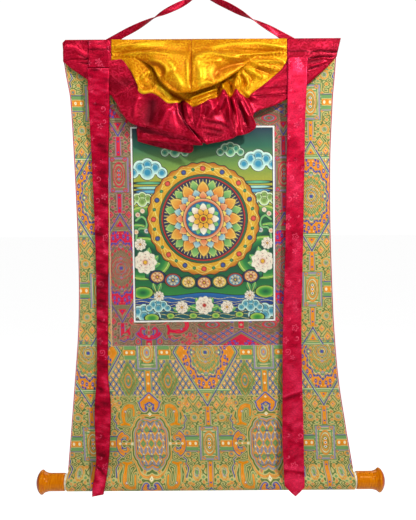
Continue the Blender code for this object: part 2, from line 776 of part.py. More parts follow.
def main():
    for old in list(bpy.data.objects):
        bpy.data.objects.remove(old)
    thangka = bpy.data.collections.new("thangka")
    bpy.context.scene.collection.children.link(thangka)
    materials = make_materials()

    build_tape(thangka, materials["red"])
    build_sleeve(thangka, materials["red"])
    build_panels(thangka, materials["green"])
    build_lower_panel(thangka, materials["green"])
    build_inner_border(thangka, materials["crimson"])
    build_painting(thangka, materials["painting"])
    build_pipings(materials["red"], materials["cord"], thangka)
    build_roller(materials["roller"], materials["lacquer"], thangka)
    build_cover(materials["yellow"], materials["red"], thangka)
    build_ribbons(thangka, materials["ribbon"])


main()
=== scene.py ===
"""The looks of the thangka: its cloth, patterns, painting, knobs and light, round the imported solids.

Lengths in the tables are millimetres. x and z are the object's own, and "out" is the distance
from the wall, which stands WALL_Y behind the hanging point. Cloth pieces are grids of points,
each with cloth coordinates (a UV map in metres of cloth) that the weave and the patterns use.
"""
import math
from functools import partial

import bmesh
import bpy
import numpy as np
from mathutils import Matrix, Vector

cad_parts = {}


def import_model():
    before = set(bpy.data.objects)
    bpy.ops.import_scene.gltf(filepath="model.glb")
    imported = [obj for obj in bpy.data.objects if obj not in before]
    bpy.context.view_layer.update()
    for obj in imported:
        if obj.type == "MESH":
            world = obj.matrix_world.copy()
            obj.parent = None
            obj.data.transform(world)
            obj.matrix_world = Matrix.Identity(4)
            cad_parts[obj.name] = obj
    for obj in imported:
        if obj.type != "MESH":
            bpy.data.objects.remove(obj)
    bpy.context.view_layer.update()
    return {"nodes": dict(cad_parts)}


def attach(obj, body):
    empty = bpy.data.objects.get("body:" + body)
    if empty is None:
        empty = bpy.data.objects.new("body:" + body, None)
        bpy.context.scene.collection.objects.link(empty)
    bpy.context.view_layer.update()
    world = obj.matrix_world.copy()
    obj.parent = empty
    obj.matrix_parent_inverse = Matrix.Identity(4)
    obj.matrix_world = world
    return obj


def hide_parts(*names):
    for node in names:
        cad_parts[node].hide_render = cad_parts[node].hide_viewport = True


MM = 0.001
WALL_Y = 9.0
GAP = 0.3
CLOTH = 1.6
SILK_THICK, TAPE_THICK = 0.8, 1.2
BACK_EVERY = 6  # rows and columns of the front to one of the back

SLEEVE_TOP, SLEEVE_BOTTOM, SLEEVE_THICK = -88.5, -119.0, 8.0
SLEEVE_LEFT, SLEEVE_RIGHT, SLEEVE_SLANT, SLEEVE_CORNER = -288.0, 287.0, 8.5, 6.0
BORDER_WIDTH = 47.0
LOWER_SEAM = -726.0
PIPING_WIDTH = 2.2

ROLLER_OUT, ROLLER_Z = 26.0, -1017.4
ROLLER_LEFT, ROLLER_RIGHT = -297.1, 322.1
CASING_RADIUS, CASING_LEFT, CASING_RIGHT = 18.7, -293.0, 318.4
NECK_Z = -992.0
KNOB_LENGTH, KNOB_RADIUS = 61.0, 19.0
TAPE_WIDTH, TAPE_FOOT = 14.0, 32.0
REPEAT_X, REPEAT_Y = 247.0, 390.0  # of the brocade
PICTURE_WIDTH, PICTURE_HEIGHT = 300, 409

# the photo and its camera; LENS is in pixels, and PIXEL is one in mm on the cloth
PHOTO_WIDTH, PHOTO_HEIGHT, LENS, PIXEL = 416, 520, 714.0, 2.1
CAMERA_PITCH, CAMERA_ROLL = math.radians(4.3), math.radians(0.38)
CAMERA_AIM, CAMERA_AWAY = Vector((10, -6, -545)), 1500.0

PAINTING = {"top_left": (-150, -267), "top_right": (150, -266),
            "bottom_left": (-147, -676), "bottom_right": (151, -674)}

# z, left, right: the outer edges of the brocade from the sleeve to the casing
OUTLINE = np.array([
    (-119, -287.0, 278.5), (-139, -285.0, 277.5), (-206, -274.0, 272.0), (-328, -268.0, 267.0),
    (-455, -264.0, 267.0), (-595, -262.0, 271.0), (-695, -265.0, 276.0), (-805, -274.0, 286.0),
    (-915, -284.0, 303.0), (-992, -291.5, 316.5),
])
RIBBON_LEFT_WIDTH, RIBBON_RIGHT_WIDTH, TAB_WIDTH = 46.0, 41.0, 43.0
RIBBON_STEP, PICTURE_STEP = 2.1, 1.3  # of their grids
# z, left, right, out
RIBBON_LEFT = np.array([
    (-149, -235, -189, 23), (-190, -234, -190, 24), (-233, -233, -191, 21),
    (-329, -230, -195, 18), (-522, -225, -198, 21), (-691, -225, -201, 25),
    (-790, -226, -202, 29), (-852, -231, -197, 33), (-923, -230, -199, 40),
    (-963, -228, -201, 46), (-999, -232, -206, 51), (-1017, -236, -209, 52),
    (-1034, -237, -213, 51),
], float)
RIBBON_RIGHT = np.array([
    (-128, 177, 218, 17), (-165, 176, 216, 22.2), (-205, 175, 214, 25), (-255, 175, 212, 24),
    (-338, 174, 211, 22), (-525, 171, 208, 26), (-693, 166, 205, 29), (-820, 165, 207, 33),
    (-923, 164, 209, 41), (-988, 166, 209, 48.5), (-1004, 167, 210, 49), (-1020, 168, 210, 49),
], float)
# x, z, out, twist
TAPE = np.array([
    (-184, SLEEVE_TOP + GAP, 4.0, 0), (-158, -74.5, 5.5, 12), (-133, -62.5, 7.5, 45),
    (-104, -48.0, 9.0, 90), (-74, -33.0, 9.0, 150), (-46, -20.0, 9.0, 168),
    (-20, -8.0, 9.0, 120), (-6, 0.0, 9.0, 92), (0, 1.0, 9.0, 90), (6, 0.0, 9.0, 88),
    (22, -8.0, 9.0, 70), (50, -20.0, 9.0, 35), (75, -33.0, 9.0, 50), (98, -45.5, 9.0, 90),
    (120, -57.0, 8.0, 130), (148, -71.5, 6.0, 165), (178, SLEEVE_TOP + GAP, 4.0, 180),
])
# the cover, a row for one thread: top_x, lip (x z out), tuck (x z), seam (x z out),
# hem (x z out), fold
COVER = np.array([
    (-187, -187, -134, 12, -163, -131, -126, -182, 20, -187, -204, 17, 0),
    (-170, -168, -131, 13, -149, -130, -131, -195, 26, -176, -221, 20, 0),
    (-152, -148, -129, 15, -136, -131, -121, -203, 28, -163, -244, 24, 0.3),
    (-133, -125, -133, 19, -123, -125, -103, -201, 29, -147, -261, 28, 0.7),
    (-113, -102, -147, 27, -106, -128, -90, -207, 31, -124, -269, 31, 1),
    (-92, -87, -174, 37, -90, -137, -82, -213, 33, -99, -273, 35, 1),
    (-72, -69, -193, 45, -71, -146, -69, -223, 36, -52, -287, 44, 1),
    (-53, -52, -202, 49, -55, -151, -50, -222, 38, -2, -309, 49, 1),
    (-44, -43, -203, 50, -47, -153, -48, -222, 30, -134, -296, 20, 1),
    (-35, -35, -203, 50, -38, -153, -44, -219, 24, -31, -322, 16, 1),
    (-28, -28, -202, 50, -30, -153, -40, -216, 30, -18, -303, 36, 1),
    (-21, -21, -202, 50, -22, -153, -35, -218, 36, -4, -304, 41, 1),
    (-10, -10, -199, 50, -12, -151, -27, -225, 39, 4, -304, 43, 1),
    (5, 4, -194, 48, 2, -149, -17, -231, 42, 10, -307, 43, 1),
    (21, 20, -189, 46, 17, -145, -2, -225, 42, 16, -305, 40, 1),
    (36, 35, -182, 43, 31, -141, 15, -215, 37, 38, -301, 39, 1),
    (50, 49, -174, 39, 45, -136, 30, -210, 26, 61, -295, 41, 1),
    (62, 61, -166, 35, 58, -132, 44, -195, 35, 71, -290, 45, 1),
    (75, 74, -157, 31, 68, -127, 58, -209, 24, 83, -287, 32, 1),
    (88, 87, -145, 26, 80, -124, 69, -194, 33, 98, -282, 34, 0.8),
    (102, 101, -134, 20, 93, -123, 79, -203, 28, 110, -270, 38, 0.5),
    (124, 124, -127, 15, 114, -127, 86, -208, 27, 104, -249, 31, 0.2),
    (149, 149, -125, 13, 136, -133, 91, -210.5, 26, 116, -237, 26, 0),
    (164, 163, -128, 13, 150, -145, 95, -211, 25, 150, -226, 23, 0),
    (176, 175.5, -136, 13, 163, -154, 97, -209, 24, 198, -201, 18, 0),
])
# where some rows stand halfway down the hem
HEM_MIDDLE = {6: (-68, -252, 42), 7: (-36, -262, 45), 8: (-128, -258, 18), 10: (-34, -262, 38),
              11: (-24, -262, 41), 12: (-14, -264, 43)}
SIDE_LEFT = (-287, -286, -133, 11, -270, -147, -187, -204, 17, 0, 0, 0, 0)
SIDE_RIGHT = (287, 278, -126, 11, 260, -146, 198, -201, 18, 0, 0, 0, 0)
CENTRE_SEAM, LAST_ROW = 11, 24
COVER_TOP, COVER_OUT = -88.5, 9.2
TURN_RADIUS, LAYER_GAP, SIDE_BULGE = 4.5, 1.2, 3.0
SEAM_STEP, HEM_STEP = 9, 11

# The folds that can be seen. Steps and ridges lift the cloth: a step stands proud on its left. Along their
# lines they also paint a highlight and a shade into the cloth's colour, and a tone is painted highlight
# (above 0) or painted shade (below 0) of the folds.
# Tones and seams only colour it, and a seam is broken into stitches. A row says how high in mm
# (or, for a tone, how light), how wide in pixels, how many mm off the wall, and the points px, py,
# px, py, ... of its line, placed on the photo.
FRONT_FOLDS = {
    "step": [
        (5, 1.3, 36, 147, 60, 153, 60.9, 159.6, 62.8, 164.6, 67.2, 165.8, 72, 163.5, 79),
    ],
    "ridge": [
        (-4, 2.8, 36, 150, 63.4, 157, 65.6, 161, 70.5, 160.6, 76),
        (4, 2.4, 38, 151, 64.6, 155, 71, 160, 77.5),
        (-4, 1.2, 30, 188.8, 43, 188.6, 48.6, 191.4, 51.5, 191, 61, 190.8, 90),
        (2.5, 3, 35, 187, 56, 187, 72, 188, 86),
        (6.5, 2.4, 34, 193.3, 62, 197, 57, 203, 54, 211, 53, 220, 54.2, 231.4, 56.6, 243, 58),
        (4, 2, 34, 195, 66, 199, 61.5, 207.4, 60, 221.5, 60.8),
        (-6, 6, 32, 250, 60, 238, 63, 229.8, 65.5, 219, 70.5, 213, 79),
        (5, 3.6, 38, 199, 66, 201, 73, 201, 81), (5, 2.2, 45, 199, 86, 203, 83.4, 207.4, 82, 214, 83.4),
        (3.6, 2, 12, 211, 49.6, 223, 46.2, 233, 44.2, 258, 43.2, 287, 47.6),
        (-4.5, 1.5, 14, 195, 50.4, 211, 49.9, 248, 50.8, 287, 50.6),
        (3.6, 2, 18, 222, 54.5, 240, 55.8, 262, 53.2, 287, 51.6),
        (3.6, 2.2, 12, 113, 46.5, 138, 44.4, 164.6, 43, 186, 46.4),
        (-4, 1.5, 14, 111, 53, 127, 52, 143, 50.6, 164.6, 49.3, 187.8, 52.4),
        (3.8, 1.8, 18, 119.8, 54, 138, 52.9, 157, 53.4, 168, 55.2, 189, 56.4),
        (3.5, 2.4, 34, 168, 62, 173, 65, 174.5, 69.5, 170, 72.5), (3.5, 3.6, 40, 173, 72, 178, 80, 182, 88),
        (-4, 3.4, 44, 165, 80, 172.9, 87, 179.6, 91),
    ],
    "tone": [
        (-0.95, 1.9, 36, 148.6, 61.8, 156, 63.4, 161.4, 66.6, 163.8, 71.6, 162.2, 77.5),
        (0.5, 1.2, 40, 152, 66.6, 156, 73, 160.5, 78.6),
        (-0.6, 7, 32, 251, 58.6, 238, 63, 226, 67, 212, 78), (0.5, 4.4, 36, 202, 65, 202, 78),
        (0.5, 1.6, 45, 200, 85, 207.4, 82, 213, 83.6), (-0.5, 1.4, 48, 197, 88.4, 206, 87, 216, 84),
        (0.5, 1, 50, 222, 81, 232, 75, 243, 66.6, 251, 61), (-0.4, 2.6, 46, 166, 81, 173, 87.5, 181, 91),
        (-0.4, 3.4, 12, 191, 45, 206, 46),
        (-0.8, 0.8, 30, 188.8, 43, 188.6, 48.6, 191.4, 51.5, 191, 61, 190.8, 90),
        (-1, 0.9, 24, 136.6, 58.6, 146.4, 61), (0.55, 1.6, 12, 139, 44.6, 152, 43, 164, 43),
        (0.4, 1.4, 12, 134, 47, 163, 46), (0.6, 1.4, 34, 168, 61.8, 172.5, 64.6, 173, 69, 169, 71),
        (0.4, 2.4, 42, 177, 76, 182, 84, 186, 86),
        (0.55, 1.3, 12, 213, 49, 223, 46.4, 233, 44.4, 258, 43.2, 285, 47.2),
        (-0.5, 1.4, 13, 226, 47.8, 250, 46.8, 283, 49.2), (-0.4, 2, 24, 118, 49, 140, 48.4, 160, 47.6),
    ],
    "seam": [
        (-1.6, 0.9, 14, 111, 54.7, 123, 56, 134.8, 58, 144.7, 60.4),
        (-1.6, 0.9, 14, 257, 57.7, 272, 54.6, 287, 52),
    ],
    "stitch": 7.4,
}
LOWER_FOLDS = {
    "step": [
        (4, 1.3, 38, 180.6, 101, 179.6, 112, 186.2, 123.6, 196, 133.4, 203, 138.6),
        (3.4, 1.1, 30, 152, 130, 163.8, 133.2, 181.2, 138.4),
        (3, 1.4, 42, 201.6, 119, 204, 119.8, 221.5, 122.2, 233, 127.8),
        (2.6, 1.4, 42, 197.8, 124.8, 200.7, 125.6, 213.2, 128, 224.8, 131.4),
    ],
    "ridge": [
        (4.6, 1.9, 26, 140.6, 79.5, 144, 74.5, 147.5, 72.2, 154.5, 71.2),
        (-5, 1.8, 27, 146.6, 80.5, 149, 76, 152.6, 74), (4.4, 2.6, 28, 139.5, 90.4, 145, 92.4, 153, 90.6),
        (-4.2, 2.2, 29, 141.5, 85.8, 147, 87.2, 154, 85), (3.6, 2.8, 33, 156, 83, 163, 89.5, 172, 97.5),
        (3.4, 1.7, 35, 159, 95.8, 168, 102, 179, 102.8),
        (-7.5, 2.3, 38, 170, 91.5, 177, 96, 183, 98.8, 190, 100.6),
        (5, 1.3, 40, 188, 99.2, 202, 93.6, 218, 87.6), (-5, 1.1, 40, 190, 101.2, 203, 96, 217, 90.5),
        (5, 1.3, 40, 191, 103, 203, 98.4, 216, 93), (-4.6, 1.1, 40, 192, 104.8, 203, 100.4, 213, 96),
        (4.4, 1.3, 40, 193, 106.4, 202, 103, 210, 98.6),
        (4.4, 1.6, 38, 181, 97.6, 186, 100.4, 189.6, 106.4),
        (-6.5, 2.2, 38, 219.6, 84.5, 219, 90, 217.6, 94.6),
        (4.6, 1.7, 28, 251, 61.4, 262, 60.2, 275, 60.2, 287, 61),
        (4.8, 1.5, 28, 251.3, 62.8, 260, 65.2, 268, 66.8, 279.5, 69),
        (-4.8, 2.6, 28, 255, 66.6, 265, 70.4, 273, 73.6),
        (4.8, 1.8, 30, 245, 66.7, 251, 70, 257, 73.3, 263, 77.5),
        (-4.4, 1.9, 30, 243.6, 70, 250, 75.5, 253.5, 82),
        (5.4, 1.6, 31, 240.6, 70, 246.3, 76.6, 248.8, 83, 246.4, 90),
        (-6, 1.8, 31, 240.8, 73, 244.5, 80, 244, 87), (5.2, 1.4, 31, 237.2, 74, 240.6, 79, 240, 86),
        (-6, 1.7, 31, 228, 79, 232.5, 86, 232.8, 93), (4.6, 1.5, 32, 230, 77.5, 233.2, 81.5, 236.4, 87.5),
        (4.4, 1.4, 33, 221.6, 82.6, 223.6, 88.6), (6.5, 5, 28, 139, 95, 135.4, 108, 134.8, 123),
        (-5, 7, 30, 152, 99, 151, 112, 148, 127), (6.5, 4.2, 33, 169, 106, 165, 117, 159, 129),
        (4.5, 3.4, 36, 172, 108, 174, 122, 179, 136), (2.6, 1.5, 36, 176, 101, 172, 107, 164, 116),
        (3, 1.5, 38, 177, 104, 177.4, 114, 184, 126), (5, 2, 40, 201.4, 103, 200, 118, 195.3, 131.4),
        (-3.4, 3, 40, 193, 104, 192.4, 114, 194, 124), (3.6, 2.4, 40, 187, 101, 187.4, 110, 190, 118),
        (-3.6, 3, 40, 206, 100, 206, 110, 203.6, 118), (4.4, 2.8, 40, 214, 98, 212, 108, 208, 118),
        (1.4, 2.4, 40, 203, 131.5, 215, 133.5, 224, 135), (5.4, 2.4, 40, 224.2, 90.5, 219, 101, 212.4, 113),
        (-4, 1.6, 40, 225.4, 97, 222, 106, 217, 115), (5, 1.6, 42, 226.8, 92, 229, 104, 229.6, 121),
        (-7, 1.6, 42, 229.9, 95, 233.2, 109, 234.6, 131), (6, 1.6, 46, 232.2, 95, 236.6, 109, 239.4, 130),
        (-7, 3, 45, 237.6, 99, 243, 111, 248, 127), (3.6, 1.3, 44, 240.6, 100, 245, 109, 250, 118),
        (5.6, 2.2, 40, 240, 91, 249, 106, 256.4, 124), (-3.6, 1.6, 38, 240, 88.6, 247, 96, 254, 101.6),
        (3.6, 1.5, 36, 243, 89, 250, 95.4, 258, 99), (2.2, 1.4, 25, 250.6, 96.6, 268, 95.2, 287, 93),
        (2.4, 1.5, 25, 113.2, 95.3, 126.5, 89, 131.4, 84, 139, 78.3),
        (2.2, 2, 24, 256, 90, 266, 82, 276, 76), (-2.2, 1.6, 24, 262, 90, 270, 84, 284, 79),
        (2.2, 1.6, 24, 268, 91, 277, 86, 287, 83.6),
    ],
    "tone": [
        (-0.4, 6, 20, 262, 66, 283, 66), (-0.35, 4, 26, 134, 62, 145, 67),
        (0.55, 1.2, 28, 139.2, 90.6, 142.5, 93.4, 150, 92.6), (-0.5, 2.2, 29, 143, 87, 152, 86.6),
        (0.5, 2.4, 34, 158, 86, 164, 91, 170, 97), (0.6, 1.1, 36, 164, 100.8, 170, 103, 179, 103),
        (-1, 2, 38, 171, 92.6, 177, 96.4, 184, 99.6, 189.4, 101), (-1, 1.8, 38, 219.4, 86, 218, 94),
        (-0.45, 2.8, 28, 260, 69, 272, 72.6), (0.4, 2.2, 28, 256, 60.6, 280, 62.6),
        (0.35, 2.6, 30, 257, 80, 251, 90), (-0.75, 7.5, 31, 152, 102, 150, 114, 146, 124),
        (0.15, 4, 28, 128, 101, 129, 114), (0.35, 1.4, 28, 131, 108, 128.6, 117),
        (0.3, 4.5, 36, 170, 111, 173, 122, 178, 131), (0.5, 1.5, 36, 171.5, 118.6, 173.4, 125.4),
        (-1, 1, 40, 180, 103, 178.9, 112, 185.4, 123.8, 195.4, 133.8, 202.6, 139),
        (0.25, 1.6, 40, 186, 103.6, 189.6, 108), (-0.3, 9, 42, 198, 108, 214, 112, 226, 124),
        (0.3, 1.6, 40, 190, 112, 193, 118), (0.7, 0.8, 30, 153, 129.8, 163.8, 133, 181, 138),
        (0.7, 1.1, 42, 224.4, 97, 221, 104), (0.7, 1.1, 42, 227, 105, 224, 112),
        (0.5, 1.2, 42, 213.6, 104, 216.6, 108), (-0.5, 3, 42, 206, 134, 222, 133),
        (-0.5, 2.6, 46, 241, 106, 246, 118, 249, 126), (0.5, 1, 46, 232.6, 97, 236.6, 109, 238.6, 124),
        (0.35, 3.4, 24, 262, 86, 272, 79, 284, 75),
    ],
    "seam": [
        # the light seam: a painted highlight on the mitre's stitched puckers; the dark one: its stitches
        (0.9, 1, 25, 114, 94.6, 126.5, 88.4, 131.4, 83.4, 138.6, 78),
        (-0.5, 0.9, 25, 115, 96.6, 127.5, 90.6, 133, 85.6),
    ],
    "stitch": 5,
}
UNDER_FOLDS = {
    "ridge": [
        (2.4, 1.2, 20, 139, 138.6, 151.3, 140.3, 182, 144),
        (-3, 1.6, 20, 141, 130.6, 150, 133.6, 156, 135.6),
    ],
    "tone": [
        (-0.9, 2, 20, 138, 127.6, 149, 131.2, 156, 133, 168, 137, 181, 141.6),
        (0.4, 0.8, 20, 139, 140.8, 151.3, 142.6, 182, 146.4), (-0.5, 2.6, 20, 150, 145, 170, 150, 186, 153),
    ],
    "seam": [
        (-0.6, 0.8, 20, 139, 139.2, 151.3, 141, 182, 144.8),
    ],
    "stitch": 3.4,
}
SIDE_FOLDS = {
    "ridge": [
        (2.2, 2.4, 11, 62.5, 46.6, 75.3, 47.9, 82, 52.9, 88, 56), (1.6, 1.6, 11, 75, 42.6, 79, 45, 81, 48),
        (-1.8, 1.2, 12, 78, 54.4, 83.7, 57.2, 88, 58.2), (-1.8, 1.1, 12, 65.4, 60, 71.9, 58.9, 88, 59.6),
        (1.6, 1.2, 12, 66, 61.6, 74, 61, 86, 61.6), (-1.8, 1.1, 12, 79, 62.8, 88, 63.8),
        (-2, 1.2, 11, 308, 51.4, 319.9, 50.8, 327.5, 51.3, 338, 52.2),
        (-2.2, 1.2, 12, 309, 58.8, 319, 56.8, 333, 56.6), (1.8, 1.1, 12, 309, 60.2, 320, 58.6, 333, 58.2),
        (2, 1.3, 13, 308, 65.2, 312.3, 66, 319.9, 63.9, 326, 61.4),
        (-2, 1.2, 13, 308, 70, 313, 67.8, 319, 66),
    ],
    "tone": [
        (-0.25, 8, 22, 118, 72, 126, 80), (0.45, 0.9, 24, 258, 88, 263, 83),
        (-0.5, 0.8, 24, 260, 90, 266, 84), (0.4, 0.9, 24, 268, 86.4, 274, 82),
        (-0.5, 0.8, 24, 270, 89, 277, 85), (0.45, 0.8, 24, 276, 80, 283, 78.6),
        (-0.45, 0.8, 24, 272, 79, 279, 76.4), (0.35, 0.8, 24, 264, 78, 269, 76),
        (-0.4, 0.8, 24, 279, 89, 287, 87.4), (-0.7, 0.8, 25, 251, 96, 268, 95.9, 287, 95.2),
        (0.5, 2.2, 11, 62.5, 46.6, 75.3, 47.9, 82, 52.9, 88, 56), (0.45, 1.4, 11, 76.6, 43.4, 80.6, 47),
        (0.5, 1.3, 11, 84, 45.4, 88.6, 47.4), (-0.8, 0.9, 12, 79, 55.2, 83.7, 57.4, 88, 58.4),
        (-0.7, 0.9, 12, 65.8, 60, 71.9, 58.9, 88, 59.6), (-0.9, 0.8, 12, 80, 62.8, 88, 63.8),
        (0.45, 1.4, 14, 84.6, 66, 85, 71), (0.5, 1.1, 22, 111, 63.8, 120, 64, 128, 64.6),
        (0.45, 2, 22, 118, 74.6, 124, 72.6, 128, 74), (-0.45, 6, 24, 112, 84, 128, 84),
        (-0.9, 0.9, 11, 287.9, 51.3, 305.6, 51.3, 310.6, 52.1, 319.9, 50.8, 327.5, 51.3, 338, 52.2),
        (0.7, 1, 10, 317.4, 45, 318.4, 46), (0.6, 1.2, 10, 323, 47, 328, 46.4),
        (0.4, 1.6, 10, 312, 43, 330, 42.4), (-0.6, 0.8, 10, 298, 40.2, 318, 40.6, 339, 39.4),
        (-0.35, 9, 12, 311, 62, 322, 58, 334, 55), (-0.9, 0.9, 12, 308, 58.9, 319, 56.9, 333, 56.6),
        (0.5, 0.8, 12, 311, 59.8, 322, 58.2, 333, 57.9), (-0.5, 1.8, 12, 308, 62, 320, 61),
        (0.7, 0.9, 13, 308, 65, 312.3, 66, 319.9, 63.9, 326, 61.4),
        (-0.8, 1, 13, 308, 70, 313, 67.8, 319, 66), (0.4, 1.6, 14, 314, 74, 322, 68),
        (0.35, 6.2, 12, 68.9, 58.6, 85.6, 68.3),
    ],
}
# painted highlights and painted shade along the ribbons, as tones
LEFT_FOLDS = {
    "tone": [
        (0.12, 10, 24, 98, 72, 99, 118), (-0.4, 0.8, 24, 90, 70.4, 108, 70), (-0.3, 1, 24, 92, 84, 100, 83),
        (0.4, 1.2, 24, 96, 92, 107, 90.6), (-0.35, 1, 24, 91, 103, 104, 105),
        (0.35, 1, 24, 93, 111, 103, 110), (-0.3, 8, 22, 102, 150, 101, 200),
        (0.6, 2.6, 22, 94.6, 183, 97, 189), (0.5, 3, 20, 98, 208, 107, 211),
        (0.5, 1.6, 20, 103, 240, 106, 252), (-0.35, 6, 21, 101, 224, 99, 236),
        (-0.55, 7, 21, 101, 276, 102, 304), (0.35, 3, 22, 99, 311, 106, 315),
        (-0.9, 0.9, 22, 96.4, 318.6, 102, 321.8, 107.8, 323), (-0.35, 6, 24, 101, 346, 101, 368),
        (0.6, 2.4, 26, 104, 377, 107.6, 388), (-0.8, 2.8, 26, 97, 383, 102.6, 390),
        (0.5, 1.6, 28, 97, 395, 108, 394), (-0.9, 3.6, 29, 97, 405, 108, 402),
        (0.5, 3.4, 32, 97, 418, 109, 420), (-0.3, 1, 33, 96, 428, 109, 431),
        (-0.4, 5, 40, 99, 452, 104, 462), (-1, 1.3, 48, 96.6, 465.6, 102, 471, 108.4, 478),
        (0.9, 3, 50, 97.6, 473, 102, 482, 98, 491), (-0.8, 1.4, 50, 107.4, 479, 105.8, 490),
    ],
}
RIGHT_FOLDS = {
    "tone": [
        (0.12, 8, 24, 298, 76, 298, 128), (-0.7, 2.2, 20, 287.6, 57, 289.6, 64),
        (0.35, 1, 22, 290, 70, 306, 71.4), (-0.35, 0.9, 22, 290, 77, 305, 76),
        (-0.35, 1, 24, 289, 93, 303, 91), (-0.35, 1.2, 24, 288, 134, 300, 130.6),
        (-0.35, 7, 24, 291, 142, 302, 168), (0.4, 3, 24, 290, 176, 300, 190),
        (-0.4, 7, 24, 292, 214, 296, 232), (0.3, 6, 24, 297, 244, 293, 262),
        (-0.4, 5, 24, 290, 248, 289, 262), (0.3, 6, 26, 296, 290, 294, 316),
        (-0.3, 5, 26, 298, 332, 290, 345), (0.45, 5, 30, 290, 372, 299, 386),
        (0.9, 1, 32, 283.6, 396.4, 292, 392.6, 302, 390), (-0.9, 2.4, 32, 286, 398.6, 294, 396, 301, 393.6),
        (0.3, 5, 34, 296, 410, 290, 420), (-0.6, 2.6, 36, 284, 424, 291, 430),
        (0.45, 2, 36, 292, 428, 300, 424), (-0.7, 2, 38, 290, 441, 301, 444),
        (-0.4, 3, 40, 286, 452, 290, 460), (-0.9, 0.9, 46, 283, 470, 292, 471.6, 303, 472.6),
        (0.5, 2.4, 46, 284, 467, 302, 468.6), (0.4, 5, 48, 290, 479, 299, 482),
    ],
}


def position(x, z, out):
    """Millimetres to points in metres, as an array with a last axis of 3."""
    return np.stack(np.broadcast_arrays(x, WALL_Y - out, z), -1) * MM


def blend(a, b, t):
    return a + (b - a) * t


def ease(t):
    t = np.clip(t, 0.0, 1.0)
    return t * t * (3 - 2 * t)


def spline(values, t):
    """A smooth curve through values, along their first axis, one for each whole step of t."""
    values, t = np.asarray(values, float), np.asarray(t, float)
    last = len(values) - 1
    i = np.clip(t.astype(int), 0, last - 1)
    f = (t - i).reshape(t.shape + (1,) * (values.ndim - 1))
    ends = 2 * values[:1] - values[1:2], 2 * values[-1:] - values[-2:-1]
    padded = np.concatenate([ends[0], values, ends[1]])
    a, b, c, d = (padded[i + k] for k in range(4))
    return 0.5 * (2 * b + (c - a) * f + (2 * a - 5 * b + 4 * c - d) * f ** 2
                  + (3 * b - a - 3 * c + d) * f ** 3)


def read_table(table, z):
    """The columns after z of a table with falling z, at each z: smooth between its rows."""
    t = np.interp(-z, -table[:, 0], np.arange(len(table)))
    return np.moveaxis(spline(table[:, 1:], t), -1, 0)


def noise(x, y, scale, seed):
    """Smooth noise from -1 to 1 with features about scale wide."""
    rng = np.random.default_rng(seed)
    total = np.zeros(np.broadcast(x, y).shape)
    for _ in range(7):
        turn, phase = rng.uniform(0, 2 * math.pi, 2)
        wave = 2 * math.pi / (scale * rng.uniform(1.2, 3.2))
        total += np.sin((x * math.cos(turn) + y * math.sin(turn)) * wave + phase)
    return total / 4


def from_line(numbers, x, y):
    """How far from a line (x, y, x, y, ...), above 0 on its left, how far along, and its length."""
    best, along, done = np.full(x.shape, 1e3), np.zeros(x.shape), 0.0
    points = list(zip(numbers[::2], numbers[1::2]))
    for (x0, y0), (x1, y1) in zip(points, points[1:]):
        run_x, run_y = x1 - x0, y1 - y0
        long = math.hypot(run_x, run_y)
        t = np.clip(((x - x0) * run_x + (y - y0) * run_y) / long ** 2, 0, 1)
        off_x, off_y = x - x0 - t * run_x, y - y0 - t * run_y
        away = np.hypot(off_x, off_y)
        nearer = away < abs(best)
        left = np.where(run_x * off_y - run_y * off_x > 0, away, -away)
        best = np.where(nearer, left, best)
        along = np.where(nearer, done + t * long, along)
        done += long
    return best, along, done


def ring(inside, width, at=0.0):
    """A line of that width, at that depth inside a shape's edge."""
    return width / 2 - abs(inside - at)


def camera_axes():
    """Where the photo's camera stands, in mm, and its directions right, up and ahead."""
    ahead = Vector((0, math.cos(CAMERA_PITCH), -math.sin(CAMERA_PITCH)))
    up = Vector((0, math.sin(CAMERA_PITCH), math.cos(CAMERA_PITCH)))
    right = Vector((1, 0, 0))
    turned_right = right * math.cos(CAMERA_ROLL) - up * math.sin(CAMERA_ROLL)
    turned_up = right * math.sin(CAMERA_ROLL) + up * math.cos(CAMERA_ROLL)
    return CAMERA_AIM - ahead * CAMERA_AWAY, turned_right, turned_up, ahead


def from_photo(line, out):
    """The points px, py, ... of a line on the photo as x, z, ..., to a mm, out mm off the wall."""
    stands, right, up, ahead = camera_axes()
    found = []
    for px, py in zip(line[::2], line[1::2]):
        ray = ahead + right * ((px - PHOTO_WIDTH / 2) / LENS) + up * ((PHOTO_HEIGHT / 2 - py) / LENS)
        spot = stands + ray * ((WALL_Y - out - stands.y) / ray.y)
        found += [round(spot.x), round(spot.z)]
    return found


def folds(table, x, z):
    """How far creases lift the cloth, in mm, and the painted highlight (1) and painted shade (-1) of its
    folds.
    """
    lift, tone = np.zeros(x.shape), np.zeros(x.shape)
    for kind in ("step", "ridge", "tone", "seam"):
        for height, width, out, *line in table.get(kind, ()):
            width = round(width * PIXEL, 1)
            away, along, long = from_line(from_photo(line, out), x, z)
            # a tone is a painted highlight (above 0) or painted shade (below 0); a seam is a row of
            # stitches
            if kind in ("tone", "seam"):
                spot = height * np.exp(-(away / width) ** 2)
                if kind == "seam":
                    spot *= np.clip(1.6 * np.sin(along * 2 * math.pi / table["stitch"]), 0, 1)
                tone += spot
                continue
            share = along / long
            ends = ease(np.minimum(share, 1 - share) * 4 + 0.25 * (kind == "ridge"))
            # a ridge gets a painted highlight along its top; a step gets a painted highlight on its raised
            # side and a painted shadow at its foot
            if kind == "ridge":
                shape = np.exp(-(np.hypot(away, 0.3 * width) - 0.3 * width) / (0.62 * width))
                light = 0.5 * np.exp(-(away / (0.55 * width)) ** 2)
            else:
                shape = np.exp(-np.maximum(away, 0) / (4 * width))
                shape = 0.5 * (1 + np.tanh(away / width)) * shape
                light = (0.6 * np.exp(-((away - width) / width) ** 2)
                         - np.exp(-((away + width) / width) ** 2))
            lift += height * shape * ends
            tone += math.copysign(min(1, abs(height) / 6), height) * light * ends
    return lift, tone


# meshes

